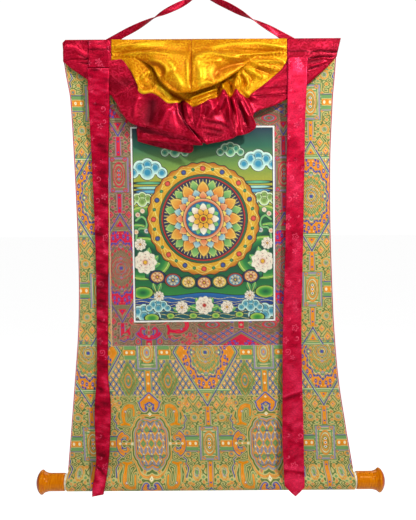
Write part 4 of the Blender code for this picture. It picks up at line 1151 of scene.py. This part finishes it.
class Picture:
    """Colours laid one over another, with dark outlines and fine gold lines kept apart."""

    def __init__(self, x, y, colour):
        self.x, self.y, self.colour = x, y, colour
        self.ink, self.gold = np.full((2, *x.shape), -5.0)

    def lay(self, inside, colour, ink=0.9, soft=0.6):
        colour = np.array(srgb(colour)) if isinstance(colour, tuple) else colour
        cover = np.clip(inside / (2 * soft) + 0.5, 0, 1)[..., None]
        self.colour += (colour - self.colour) * cover
        self.ink = np.minimum(self.ink, -inside)
        self.gold = np.minimum(self.gold, -inside)
        if ink:
            self.ink = np.maximum(self.ink, ink / 2 - abs(inside))

    def line(self, inside):
        self.gold = np.maximum(self.gold, inside)

    def disc(self, cx, cy, a, b=None):
        b = b or a
        return (1 - np.hypot((self.x - cx) / a, (self.y - cy) / b)) * min(a, b)

    def blob(self, cx, cy, a, b, depth, colours, ink):
        """A round shape whose colours run from its edge inwards over a depth."""
        inside = self.disc(cx, cy, a, b)
        self.lay(inside, shade(inside / depth, *colours), ink)
        return inside

    def rosette(self, cx, cy, count, degrees, start, end, wide, colours, ink):
        """Petals all round a centre, coloured from their start to their end."""
        dx, dy = self.x - cx, self.y - cy
        far = np.hypot(dx, dy)
        turn = from_nearest(np.arctan2(dy, dx) - math.radians(degrees), count)
        along = (far * np.cos(turn) - start) / (end - start)
        inside = petal_edge(along, abs(far * np.sin(turn)), wide)
        self.lay(inside, shade(along, *colours), ink)
        return inside

    def leaf(self, cx, cy, degrees, length, wide):
        turn = math.radians(degrees)
        dx, dy = self.x - cx, self.y - cy
        along = (dx * math.cos(turn) + dy * math.sin(turn)) / length
        across = abs(dy * math.cos(turn) - dx * math.sin(turn))
        inside = petal_edge(along, across, wide)
        self.lay(inside, shade(along, (10, 76, 54), (104, 180, 100)), ink=1.4)
        self.line(np.minimum(0.6 - across, np.minimum(inside - 0.6, 1.0)))

    def cloud(self, cx, cy, size, deep, mid):
        """Round lobes with pale rims, curled inside, over a flat tail."""
        discs = [self.disc(cx + dx * size, cy + dy * size, r * size) for dx, dy, r in PUFF]
        inside = np.max(discs, axis=0)
        self.lay(inside, (244, 247, 244), ink=1.5)
        for (_, _, r), disc in zip(PUFF, discs):
            self.lay(np.minimum(disc, inside) - 0.16 * r * size,
                     shade(disc / (0.75 * r * size) + 0.1, (214, 232, 236), mid, deep), ink=0)
        for (_, dy, r), disc in zip(PUFF, discs):
            curl = ring(disc - 0.42 * r * size, 1.3)
            curl = np.minimum(curl, self.y - cy - (dy - 0.15 * r) * size)
            self.ink = np.maximum(self.ink, np.minimum(curl, 0.35))

    def peony(self, cx, cy, size, tip, heart=(236, 170, 40)):
        for count, turn, *sizes in ((9, 0, 0.2, 1.0, 0.34), (8, 20, 0.15, 0.76, 0.27),
                                    (6, 5, 0.05, 0.5, 0.2)):
            self.rosette(cx, cy, count, turn, *(v * size for v in sizes),
                         (tip, (248, 206, 200), (252, 240, 232)), 1.2)
        self.lay(self.disc(cx, cy, 0.17 * size), heart, ink=1.0)

    def vine(self, points, wide, colour):
        """A curling stem along a smooth line."""
        line = spline(np.array(points, float), np.linspace(0, len(points) - 1, 8 * len(points)))
        inside = wide - abs(from_line(line.ravel(), self.x, self.y)[0])
        self.lay(inside, shade(inside / wide, colour, (150, 206, 130)), ink=1.3)


# a cloud's lobes: x, y and radius
PUFF = [(-1.5, -0.2, 0.62), (1.5, -0.25, 0.6), (-0.75, 0.35, 0.75), (0.8, 0.3, 0.72),
        (0.0, 0.62, 0.7), (0.0, -0.2, 0.8)]


def from_nearest(angle, count):
    """An angle, measured from the nearest of count equal turns."""
    part = 2 * math.pi / count
    return (angle / part - np.round(angle / part)) * part


def petal_edge(along, across, wide):
    """How far inside a pointed petal, for a place from 0 to 1 along it."""
    shape = np.sin(np.clip(along, 0, 1) ** 1.25 * math.pi) ** 0.75
    return np.where((along > 0) & (along < 1), wide * shape - across, -3.0)


def shade(t, *colours):
    """Through several picture colours as t goes from 0 to 1."""
    table = np.array([srgb(c) for c in colours])
    at = np.clip(t, 0, 1) * (len(table) - 1)
    i = np.minimum(at.astype(int), len(table) - 2)
    return blend(table[i], table[i + 1], (at - i)[..., None])


def painting_fields(x, y):
    """A wheel of petals over hills, clouds, peonies and a pond."""
    ground = shade((204 - y) / 408, (12, 34, 74), (38, 104, 84), (122, 150, 66), (186, 170, 52),
                   (182, 176, 54), (110, 152, 52), (30, 112, 58), (14, 78, 58), (24, 104, 60),
                   (62, 146, 60), (20, 92, 72))
    p = Picture(x, y, ground)
    for side in (-1, 1):
        for cy, tall, tints in ((70, 4, ((30, 108, 186), (120, 190, 220))),
                                (78, 3, ((110, 186, 206), (200, 230, 220))),
                                (88, 3, ((24, 130, 120), (130, 200, 150)))):
            p.blob(side * (104 + cy / 9), cy, 34, tall, tall, tints, 1.2)
        for cx, cy, a, b, tints in (
                (120, -2, 58, 44, ((170, 196, 80), (64, 140, 60), (14, 88, 56))),
                (140, -36, 44, 40, ((120, 190, 90), (26, 120, 70), (10, 72, 60))),
                (128, -70, 60, 46, ((150, 196, 80), (40, 130, 64), (8, 74, 56)))):
            hill = p.blob(side * cx, cy, a, b, 22, tints, 1.5)
            p.line(np.minimum(0.6 - abs(hill - 4), hill))
        p.cloud(side * 116, 122 + side * 8, 20, (44, 140, 186), (190, 224, 232))
        p.cloud(side * 128, 52, 14, (120, 150, 70), (206, 218, 150))
        p.cloud(side * 58, 154, 14, (40, 128, 112), (170, 210, 170))
        for turn, length in ((100, 40), (66, 34), (140, 34), (30, 26), (170, 30)):
            p.leaf(side * 122, -86, turn if side > 0 else 180 - turn, length, 8.5)
        p.vine([(side * v, w) for v, w in ((132, -48), (142, -30), (136, -8), (122, -6), (120, 8),
                                           (130, 18), (142, 10))], 3.2, (16, 96, 66))
        for cx, cy, tint in ((138, 22, (222, 70, 60)), (120, -12, (36, 66, 150)),
                             (142, -14, (236, 130, 60)), (128, 30, (240, 170, 150))):
            p.blob(side * cx, cy, 5.4, 5.4, 5.4, ((250, 236, 220), tint), 1.2)

    # the wheel
    far, angle = np.hypot(x, y - 12), np.arctan2(y - 12, x)
    p.lay(118 * (1 + 0.012 * np.cos(32 * angle)) - far,
          shade((118 - far) / 26, (190, 92, 14), (238, 176, 40), (226, 150, 26)), ink=1.8)
    for i in range(-2, 3):
        p.line(0.55 - abs(far - 105 - 3.6 * np.sin(16 * angle + i) - 3.4 * i))
    for count, turn, tint, size in ((8, 0, (196, 40, 30), 5.4), (8, 22.5, (22, 44, 120), 5.0),
                                    (16, 11.25, (20, 108, 64), 3.4)):
        dot = size - np.hypot(far - 105, 105 * from_nearest(angle - math.radians(turn), count))
        p.lay(dot, shade(dot / size, tint, tuple(min(255, c + 60) for c in tint)), ink=1.3)
    p.lay(93 - far, (20, 100, 72), ink=1.5)
    p.lay(88.5 - far, (200, 44, 34), ink=1.2)
    p.lay(85.0 - far, shade(far / 85, (60, 54, 60), (40, 46, 84)), ink=1.4)
    spokes = 0.75 - abs(far * from_nearest(angle, 72))
    p.line(np.minimum(spokes, np.minimum(83 - far, far - 40)))
    for petals in (
            (12, 15, 34, 83, 12.0, ((8, 70, 60), (40, 130, 80), (170, 204, 120))),
            (12, 0, 30, 79, 13.0, ((190, 44, 14), (230, 116, 28), (248, 190, 84))),
            (12, 15, 26, 63, 10.5, ((24, 50, 130), (60, 120, 180), (190, 220, 230))),
            (12, 0, 24, 58, 10.0, ((206, 40, 24), (228, 84, 44), (248, 176, 130))),
            (12, 15, 20, 50, 8.6, ((214, 124, 8), (244, 176, 44), (255, 220, 110)))):
        inside = p.rosette(0, 12, *petals, 1.5)
        p.line(np.minimum(0.6 - abs(inside - 2.8), inside))
    p.lay(43 - far, shade((43 - far) / 6.5, (246, 190, 150), (220, 80, 40)), ink=1.5)
    p.lay(36.5 - far, shade(far / 36, (8, 84, 100), (10, 108, 164)), ink=1.3)
    for petals in (
            (8, 22.5, 9, 34, 7.4, ((14, 116, 80), (140, 200, 120))),
            (8, 0, 8, 33, 7.8, ((222, 56, 44), (246, 206, 196), (255, 252, 246))),
            (8, 22.5, 5, 22, 5.6, ((230, 116, 20), (250, 200, 70)))):
        p.rosette(0, 12, *petals, 1.3)
    p.lay(9 - far, (240, 178, 36), ink=1.3)
    p.lay(5 - far, (200, 30, 30), ink=1.2)

    # a garland under the wheel, a pond with lilies, and what grows beside them
    def sag(cx):
        return -104 - 18 * (1 - (cx / 118) ** 2)

    p.lay(np.minimum(8.5 - abs(y - sag(x)), 124 - abs(x)), shade(abs(y - sag(x)) / 8.5,
          (30, 120, 90), (10, 60, 60)), ink=1.5)
    for i in range(-3, 4):
        cx = i * 33.0
        cy = sag(cx)
        deep, light, edge = (((206, 44, 24), (250, 168, 100), (20, 40, 106)),
                             ((222, 128, 14), (252, 206, 104), (12, 90, 74)),
                             ((20, 52, 130), (110, 170, 214), (190, 60, 30)))[abs(i) % 3]
        p.lay(p.disc(cx, cy, 17.5, 14.5), edge, ink=1.5)
        p.blob(cx, cy, 14, 11.4, 11, (light, deep), 1.2)
        p.rosette(cx, cy, 7, 90, 2, 10.5, 3.2, (deep, (255, 232, 190)), 1.1)
        p.lay(p.disc(cx, cy, 2.4), (244, 190, 60), ink=1.0)
    pond = -146 - y + 3 * np.cos(x / 24)
    p.lay(pond, shade(pond / 40, (30, 104, 176), (16, 50, 140), (14, 84, 100)), ink=1.6)
    for i in range(7):
        p.line(0.6 - abs(y + 155 + 7.0 * i - 1.8 * np.sin(x / 7 + i * 1.7)))
    for side in (-1, 1):
        for turn, length in ((70, 26), (110, 26), (20, 22)):
            p.leaf(side * 100, -146, turn if side > 0 else 180 - turn, length, 6)
        for cx, cy, size in ((128, -188, 17), (98, -172, 13)):
            p.cloud(side * cx, cy, size, (60, 140, 176), (180, 214, 224))
        for cx, cy, a, b in ((130, -142, 22, 13), (112, -196, 16, 9)):
            p.blob(side * cx, cy, a, b, 11, ((190, 206, 84), (60, 150, 60), (16, 96, 56)), 1.5)
        p.peony(side * 124, -78, 25, (214, 50, 48))
        p.peony(side * 134, -40, 13, (222, 84, 84))
        p.peony(side * 96, -150, 11, (216, 60, 56))
        for turn in (20, 90, 160):
            p.leaf(side * 48, -182, turn, 20, 6.5)
        p.peony(side * 48, -174, 14, (216, 60, 64), (240, 180, 50))
    for turn in (15, 55, 125, 165):
        p.leaf(0, -180, turn, 32, 8)
    p.peony(0, -170, 20, (226, 96, 24), (206, 40, 36))
    for cx, cy in ((-24, -192), (24, -192), (-72, -192), (74, -190)):
        p.blob(cx, cy, 9, 6, 5, ((206, 214, 100), (50, 140, 60)), 1.3)

    border = np.minimum(147.0 - abs(x), 201.5 - abs(y))
    p.lay(-border, (255, 242, 255), ink=0, soft=0.4)
    p.ink = np.maximum(p.ink, 0.7 - abs(border - 1.0))
    lines = np.stack([p.ink, np.minimum(p.gold, border), np.zeros(x.shape)], -1)
    return {"paint": p.colour, "lines": lines}


# knobs, pipings, sleeve, tape and ribbons

def build_knobs(lacquer):
    corners = [(0, 61), (8, 60.3), (15, 58.3), (21, 55), (24.6, 51.8), (26, 49), (25, 46.5),
               (22, 43), (19.8, 37), (19.1, 32), (19, 20), (19, 2.2), (18.3, 0.1), (0, 0)]
    smooth = spline(np.array(corners[:12], float), np.linspace(0, 11, 56))
    profile = [(max(0.0, r), min(a, KNOB_LENGTH)) for r, a in smooth] + corners[12:]
    radius, along = np.array(profile, float).T[..., None]
    angles = np.linspace(0, 2 * math.pi, 65)
    points = np.stack(np.broadcast_arrays(radius * np.cos(angles), radius * np.sin(angles),
                                          along), -1) * MM
    cloth = np.stack(np.broadcast_arrays(angles * KNOB_RADIUS, along), -1)
    for name, start, sign in (("left", ROLLER_LEFT - GAP, -1), ("right", ROLLER_RIGHT + GAP, 1)):
        knob = grid_object("turned_knob_" + name, points, cloth, lacquer)
        weld(knob)
        knob.data.set_sharp_from_angle(angle=math.radians(40))
        knob.rotation_euler = (0, math.radians(90) * sign, 0)
        knob.location = Vector((start, WALL_Y - ROLLER_OUT, ROLLER_Z)) * MM
        place_piece(knob, "amber_lacquer", "knob_" + name)


def build_pipings(red, gold):
    near = GAP / 2 + PIPING_WIDTH
    half_wide, half_deep = 0.98, 1.3
    for name, bottom, left_of, material, slot in (
            ("piping_left", LOWER_SEAM, lambda z: border_outer(-1, z) - near, gold, "gold_piping"),
            ("piping_right", LOWER_SEAM, lambda z: border_outer(1, z) + GAP / 2, gold,
             "gold_piping"),
            ("edge_piping_left", NECK_Z, lambda z: outline_at(z)[0], red, "red_silk"),
            ("edge_piping_right", NECK_Z, lambda z: outline_at(z)[1] - PIPING_WIDTH, red,
             "red_silk")):
        rows = round((SLEEVE_BOTTOM - bottom) / 4)
        u, z = np.meshgrid(np.linspace(0, 2 * math.pi, 13),
                           np.linspace(SLEEVE_BOTTOM - GAP, bottom + GAP, rows))
        middle = left_of(z) + PIPING_WIDTH / 2
        points = hung(middle, z)
        points[..., 0] = (middle + half_wide * np.cos(u)) * MM
        points[..., 1] -= half_deep * np.sin(u) * MM
        made = grid_object("cord_" + name, points, np.stack([u * 1.2, z], -1), material)
        place_piece(made, slot, name)


def build_sleeve(red):
    """A flat tube of silk over the batten: flat behind, soft in front."""
    t, xx = np.meshgrid(np.linspace(0, 2 * math.pi, 65),
                        np.linspace(SLEEVE_LEFT, SLEEVE_RIGHT, 240), indexing="ij")
    half_z, half_y = (SLEEVE_TOP - SLEEVE_BOTTOM) / 2, SLEEVE_THICK / 2
    squareness = 0.32
    up, front = (np.sign(f(t)) * abs(f(t)) ** squareness for f in (np.sin, np.cos))
    z = (SLEEVE_TOP + SLEEVE_BOTTOM) / 2 + half_z * up
    low = (SLEEVE_TOP - z) / (2 * half_z)
    right = SLEEVE_RIGHT - SLEEVE_SLANT * low
    left = SLEEVE_LEFT + 2 * low + SLEEVE_CORNER * np.clip(1 - low * 5, 0, 1)
    x = blend(left, right, (xx - SLEEVE_LEFT) / (SLEEVE_RIGHT - SLEEVE_LEFT))
    pucker = noise(x, z * 4, 22, 3) * 0.35 + noise(x, z, 60, 4) * 0.4
    out = half_y + half_y * front + np.clip(front, 0, 1) * (pucker - 0.5)
    made = grid_object("silk_sleeve", position(x, z, out), np.stack([x, t * 10.0], -1), red)
    weld(made, fill=True)
    place_piece(made, "red_silk", "batten_sleeve")


def build_tape(red):
    last = len(TAPE) - 1
    t = np.linspace(0, last, 320)
    middle = np.stack([TAPE[:, 0], WALL_Y - TAPE[:, 2], TAPE[:, 1]], -1)
    here = spline(middle, t)
    run = spline(middle, np.minimum(t + 0.05, last)) - spline(middle, np.maximum(t - 0.05, 0))
    run /= np.linalg.norm(run, axis=-1, keepdims=True)
    across = np.cross(run, (0, 1, 0))
    across /= np.linalg.norm(across, axis=-1, keepdims=True)
    deep = np.cross(run, across)
    angle = np.radians(spline(TAPE[:, 3], t))[:, None]
    wide = (across * np.cos(angle) + deep * np.sin(angle)) * TAPE_WIDTH
    level = ease(1 - np.minimum(t, last - t) / 0.8)[:, None]
    wide = blend(wide, np.array([-TAPE_FOOT, 0, 0]), level)
    u = np.linspace(-0.5, 0.5, 13)
    curl = np.cross(run, wide) / TAPE_WIDTH
    points = (here[:, None] + wide[:, None] * u[None, :, None]
              + curl[:, None] * ((1 - (2 * u) ** 2) * 0.9)[None, :, None] * (1 - level[:, None]))
    length = np.concatenate([[0], np.cumsum(np.linalg.norm(np.diff(here, axis=0), axis=-1))])
    cloth = np.stack(np.broadcast_arrays(u[None] * TAPE_WIDTH, length[:, None]), -1)
    made = grid_object("silk_tape", points * MM, cloth, red)
    thicken(made, TAPE_THICK)
    place_piece(made, "red_silk", "hanging_tape")


def ribbon_painted_shade(table, x, z, along, seed, crinkle_shade):
    """Painted highlight and shade of a ribbon: of crinkles across it, and of the folds that can be seen in
    it.
    """
    fine = 0.34 * noise(along * 0.25, z, 4, seed) + 0.30 * noise(along * 0.6, z, 14, seed + 20)
    return crinkle_shade * fine + folds(table, x, z)[1]


def ribbon_piece(name, node, x, z, out, along, tone, silk):
    # the fold attribute carries the painted highlight and painted shade of the folds
    made = grid_object(name, position(x, z, out), np.stack([along, z], -1), silk,
                       {"fold": np.clip(tone, -1, 1)[..., None]})
    thicken(made, SILK_THICK)
    place_piece(made, "ribbon_silk", node)


def build_ribbons(silk):
    # the left ribbon, its right edge turned under
    turn = 1.9
    u, v = unit_grid(RIBBON_LEFT_WIDTH, 885, RIBBON_STEP)
    z = blend(RIBBON_LEFT[0, 0], RIBBON_LEFT[-1, 0], v)
    near, far, out = read_table(RIBBON_LEFT, z)
    along = u * RIBBON_LEFT_WIDTH
    flat = far - near - turn
    angle = np.clip((along - flat) / turn, 0, math.pi)
    behind = np.maximum(0.0, along - flat - math.pi * turn)
    x = near + np.minimum(along, flat) + turn * np.sin(angle) - behind
    z = z + blend(-6.0, 3.0, u) * ease((v - 0.94) / 0.06)
    crumple = 0.8 * noise(along * 2, z, 40, 11) + 0.35 * noise(along * 0.5, z, 11, 31)
    out = out - turn * (1 - np.cos(angle)) + crumple * (1 - angle / math.pi)
    # painted shade: the whole left ribbon a touch darker, and darker still where its edge turns under
    tone = ribbon_painted_shade(LEFT_FOLDS, x, z, along, 32, 1.15) - 0.04 - 0.9 * np.clip(angle, 0, 1)
    ribbon_piece("silk_ribbon_left", "ribbon_left", x, z, out, along, tone, silk)

    u, v = unit_grid(RIBBON_RIGHT_WIDTH, 892, RIBBON_STEP)
    z = blend(RIBBON_RIGHT[0, 0], RIBBON_RIGHT[-1, 0], v)
    near, far, out = read_table(RIBBON_RIGHT, z)
    tip = -18.0 * (1 - abs(u - 0.55) / 0.55) - 5.0 * np.sin(math.pi * u)
    z = z + tip * ease((v - 0.94) / 0.06)
    x, along = blend(near, far, u), u * RIBBON_RIGHT_WIDTH
    out = out + 0.8 * noise(u * 80, z, 40, 12) + 0.35 * noise(u * 20, z, 11, 34)
    # painted light: the right ribbon is painted lighter all over, as if it took more of the light
    tone = ribbon_painted_shade(RIGHT_FOLDS, x, z, along, 35, 0.55) + 0.24
    ribbon_piece("silk_ribbon_right", "ribbon_right", x, z, out, along, tone, silk)

    u, v = unit_grid(TAB_WIDTH, 57, 1.4)
    x, z, along = blend(-233.0, -190.0, u), blend(-90.0, -147.0, v), u * TAB_WIDTH
    out = blend(10.8, 19.0, v) + 0.8 * np.sin(math.pi * v) + 0.4 * noise(along, v * 57, 20, 13)
    tone = 0.25 * noise(u * 20, z, 6, 36) - 0.3 - 0.9 * np.exp(-((z + 109) / 1.4) ** 2)
    ribbon_piece("silk_tab", "ribbon_tab", x, z, out, along, tone, silk)


# the cover

def controls(row):
    """A row of the cover as control points (x, z, out), from its top to its hem."""
    (top_x, lip_x, lip_z, lip_out, tuck_x, tuck_z, seam_x, seam_z, seam_out,
     hem_x, hem_z, hem_out, fold) = row
    turn = fold * min(TURN_RADIUS, (lip_out - 10) / 4)
    top, lip, tuck, seam, hem = np.array([
        (top_x, COVER_TOP, COVER_OUT), (lip_x, lip_z, lip_out),
        (tuck_x, tuck_z, blend(lip_out, seam_out, 0.3)), (seam_x, seam_z, seam_out),
        (hem_x, hem_z, hem_out)], float)
    rise = 1.3 * turn
    inner = lip_out - 4 * turn - LAYER_GAP
    folded = np.array([
        top,
        blend(top, lip, 0.5) + (0, 0, 0.2 * (lip_out - COVER_OUT)),
        (lip_x, lip_z + rise, lip_out),
        (lip_x, lip_z, lip_out - turn),
        (lip_x, lip_z + rise, lip_out - 2 * turn),
        (tuck_x, tuck_z - rise, lip_out - 2 * turn - LAYER_GAP),
        (tuck_x, tuck_z, lip_out - 3 * turn - LAYER_GAP),
        (tuck_x, tuck_z - rise, inner),
        (blend(tuck_x, seam_x, 0.6), blend(lip_z, seam_z, 0.1), inner),
        seam,
    ])
    straight = np.array([
        top, blend(top, lip, 0.5), blend(top, lip, 0.85), lip,
        blend(lip, tuck, 0.3), blend(lip, tuck, 0.55), blend(lip, tuck, 0.8), tuck,
        blend(tuck, seam, 0.5), seam,
    ])
    return np.concatenate([blend(straight, folded, fold), [blend(seam, hem, 0.5), hem]])


COVER_PATHS = np.array([controls(row) for row in COVER])
for row, point in HEM_MIDDLE.items():
    COVER_PATHS[row, HEM_STEP - 1] = point


def cover_at(u, v):
    """The cover in millimetres (x, z, out) for arrays u of rows and v of steps: (v, u, 3).

    With it comes the painted highlight (above 0) and painted shade (below 0) of each point's folds.
    """
    path = np.moveaxis(spline(COVER_PATHS, u), 1, 0)
    here = spline(path, v)
    fold = np.clip(spline(COVER[:, 12], u), 0, 1)[None]
    below = v > SEAM_STEP
    if below.any():
        k = np.minimum(v[below].astype(int), HEM_STEP - 1)
        straight = blend(path[k], path[k + 1], (v[below] - k)[:, None, None])
        here[below] = blend(straight, here[below], fold[..., None])
    # how much of each table's folds there is, from the top (step 0) to the hem's edge (11)
    steps = v[:, None]
    flat = 1 - fold
    front = ease(steps / 0.8) * (1 - ease((steps - 2.0) / 1.5))
    lower = ease((steps - 7.0 + 3.6 * flat) / 1.2) * (1 - 0.5 * ease((steps - 10.4) / 0.6))
    under = ease((u - 7.2) / 0.5) * (1 - ease((u - 9.5) / 0.5)) * ease(steps - 8.2)
    lower = lower * (1 - under)
    plain = 1 - ease((steps - 2.0 - 1.8 * flat) / 0.6)
    loose = ease(steps / 1.2)
    here[..., 2] += loose * 0.25 * noise(here[..., 0], here[..., 1] + here[..., 2], 22, 21)
    here[..., 2] += 0.5 * np.exp(-((steps - 10.86) / 0.07) ** 2)  # the rolled edge
    lift = tone = 0
    for table, raised, seen in ((FRONT_FOLDS, front, plain), (LOWER_FOLDS, lower, lower),
                                (UNDER_FOLDS, under, under)):
        table_lift, table_tone = folds(table, here[..., 0], here[..., 1])
        lift = lift + raised * table_lift
        tone = tone + seen * table_tone
    here[..., 2] += lift
    return here, np.clip(tone, -1, 1)


def lengths(points):
    """How far each point of a grid is along its row and down its column, in mm."""
    u, v = (np.cumsum(np.linalg.norm(np.diff(points, axis=a, prepend=points.take([0], a)),
                                     axis=-1), axis=a) for a in (1, 0))
    return np.stack([u.mean(axis=0)[None, :] + 0 * v, v], -1) / MM


def cover_piece(name, here, tone, material, slot, node, flat):
    points = position(here[..., 0], here[..., 1], here[..., 2])
    # the fold attribute carries the painted highlight and painted shade of the folds
    made = grid_object(name, points, lengths(points), material, {"fold": tone[..., None]})
    thicken(made, SILK_THICK)
    place_piece(made, slot, node)
    min(cloth_area(points), flat[0] * flat[1])


def build_cover(yellow, red):
    steps = np.concatenate([np.linspace(0, 4, 56), np.linspace(4.06, 9, 70)])
    gap = 0.03  # between two pieces, as a part of a row
    for name, start, end, count, flat in (
            ("left", gap, CENTRE_SEAM - gap, 150, (0.19, 0.26)),
            ("right", CENTRE_SEAM + gap, LAST_ROW - gap, 180, (0.21, 0.26))):
        cover_piece("silk_yellow_" + name, *cover_at(np.linspace(start, end, count), steps),
                    yellow, "yellow_silk", "cover_yellow_" + name, flat)
    hem = cover_at(np.linspace(0, LAST_ROW, 480), np.linspace(SEAM_STEP, HEM_STEP, 53))
    cover_piece("silk_hem", *hem, red, "red_silk", "cover_hem", (0.70, 0.10))
    for name, row, seam_u in (("left", SIDE_LEFT, 0.0), ("right", SIDE_RIGHT, float(LAST_ROW))):
        outer = spline(controls(row)[:SEAM_STEP + 1], steps)
        w = np.linspace(0, 1, 61)
        u = w if seam_u == 0 else w[::-1]
        at_seam = cover_at(np.array([seam_u]), steps)[0][:, 0]
        mitre = cover_at(np.array([seam_u]), HEM_STEP - 2 * u)[0][:, 0]
        straight = blend(outer[-1], at_seam[-1], u[:, None])
        here = blend(outer[:, None], at_seam[:, None], u[None, :, None])
        here = here + (mitre - straight)[None] * ease((steps - 6) / 3)[:, None, None]
        free = ease(steps / 3) * (1 - ease((steps - 7) / 2))
        here[..., 2] += SIDE_BULGE * np.sin(math.pi * u)[None] * free[:, None]
        if name == "left":
            here[..., 0] += 5.5 * ease(1 - steps / 1.2)[:, None] * (1 - u[None]) ** 8
        lift, tone = folds(SIDE_FOLDS, here[..., 0], here[..., 1])
        # the painted highlight and shade of the lower folds, near the mitre
        _, mitre_tone = folds(LOWER_FOLDS, here[..., 0], here[..., 1])
        low = ease((steps - 6) / 3)[:, None] * ease(4 * u)[None]
        here[..., 2] += ease(steps / 0.8)[:, None] * lift
        cover_piece("silk_side_" + name, here, np.clip(tone + low * mitre_tone, -1, 1), red,
                    "red_silk", "cover_side_" + name, (0.13, 0.13))


# the studio

def build_studio():
    scene = bpy.context.scene
    floor_z = -1.72
    points = np.array([[(-30, 30, floor_z), (30, 30, floor_z)],
                       [(-30, -30, floor_z), (30, -30, floor_z)]], float)
    n = Nodes("pale_floor")
    grain = n.noise(n.add("TexCoord", out=3), 3.0)
    n.finish(n.mix(n.ramp(grain), (0.86, 0.86, 0.86), (0.88, 0.88, 0.88)), 0.9,
             Emission_Color=(1, 1, 1),
             Emission_Strength=n.ramp(n.add("LightPath"), 0, 1, 0.3, 0.81))
    grid_object("floor", points, points[..., :2], n.owner)

    world = bpy.data.worlds.new("studio")
    n = Nodes(world)
    seen = n.tree.nodes["Background"]
    n.set(seen.inputs["Strength"], 1.05)
    n.set(seen.inputs["Color"], (1, 1, 1))
    toward = n.add("VectorMath", out="Value", operation="DOT_PRODUCT", i0=n.add("TexCoord"),
                   i1=Vector((0.62, -0.25, 0.74)).normalized())
    lit = n.add("Background", Strength=n.ramp(toward, -0.8, 1.0, 0.03, 0.33))
    both = n.add("MixShader", i0=n.add("LightPath"), i1=lit, i2=Value(n, seen.outputs[0]))
    n.set(n.tree.nodes["World Output"].inputs[0], both)
    scene.world = world
    scene.view_settings.view_transform = "Standard"

    target = Vector((0, 0, -0.5))
    for name, energy, size, place in (("key", 38, 0.12, (1.0, -1.15, 0.85)),
                                      ("front", 6, 0.7, (0.3, -2.0, 0.2)),
                                      ("top", 6, 0.4, (-0.3, -0.9, 0.9)),
                                      ("left", 3.5, 0.6, (-1.5, -1.2, -0.2)),
                                      ("rim", 10, 1.2, (0.2, 1.8, 0.9))):
        lamp = bpy.data.lights.new(name, "AREA")
        lamp.energy, lamp.size = energy, size
        made = bpy.data.objects.new(name, lamp)
        made.location = place
        made.rotation_euler = (target - made.location).to_track_quat("-Z", "Y").to_euler()
        scene.collection.objects.link(made)

    stands, right, up, ahead = camera_axes()
    pose = Matrix((right, up, -ahead)).transposed().to_4x4()
    pose.translation = stands * MM
    data = bpy.data.cameras.new("camera")
    data.sensor_width = 36.0
    data.lens = LENS / PHOTO_HEIGHT * data.sensor_width
    camera = bpy.data.objects.new("camera", data)
    camera.matrix_world = pose
    scene.collection.objects.link(camera)
    scene.camera = camera


def main():
    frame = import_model()

    green = (brocade_material("green_brocade", (90, 112, 56), (184, 178, 112), (108, 150, 90),
                              (224, 136, 6), (230, 222, 176), (146, 138, 158), (70, 76, 150)),
             backing("brocade_reverse", (150, 140, 90), (130, 118, 70)))
    crimson = (brocade_material("crimson_brocade", (102, 84, 64), (148, 128, 98), (112, 102, 72),
                                (204, 18, 58), (168, 150, 112), (138, 114, 148), (78, 68, 150)),
               backing("crimson_reverse", (130, 90, 80), (110, 70, 64)))
    canvas = (canvas_material(), backing("canvas_back", (206, 196, 170), (186, 172, 140)))

    yellow = satin("yellow_satin", ((180, 96, 0), (192, 118, 0), (248, 202, 36), (160, 76, 0),
                                    (240, 200, 36)), (1.0, 0.74, 0.10), size=16, figure=0.40,
                   metal=0.26, rough=(0.34, 0.47))
    red = satin("red_satin", ((130, 0, 18), (154, 0, 28), (236, 40, 84), (74, 0, 8),
                              (218, 22, 60)), (1.0, 0.20, 0.32), size=16, figure=0.32, metal=0.36)
    ribbon = satin("ribbon_satin", ((174, 0, 36), (196, 6, 48), (246, 84, 120), (92, 0, 14),
                                    (234, 46, 86)), (1.0, 0.22, 0.36), size=20, figure=0.62,
                   metal=0.35, mask_of=spray_mask, crinkle_shade_range=(0.76, 1.20))
    gold = backing("gold_twill", (226, 168, 50), (196, 130, 30))
    edge_red = backing("red_twill", (200, 40, 50), (170, 20, 40))

    build_panels(green, crimson, canvas)
    build_pipings(edge_red, gold)
    build_sleeve(ribbon)
    build_tape(red)
    build_ribbons(ribbon)
    build_cover(yellow, red)
    build_knobs(lacquer_material())
    roller = frame["nodes"]["roller"]
    roller.data.materials.clear()
    roller.data.materials.append(wood_material())
    build_studio()


main()
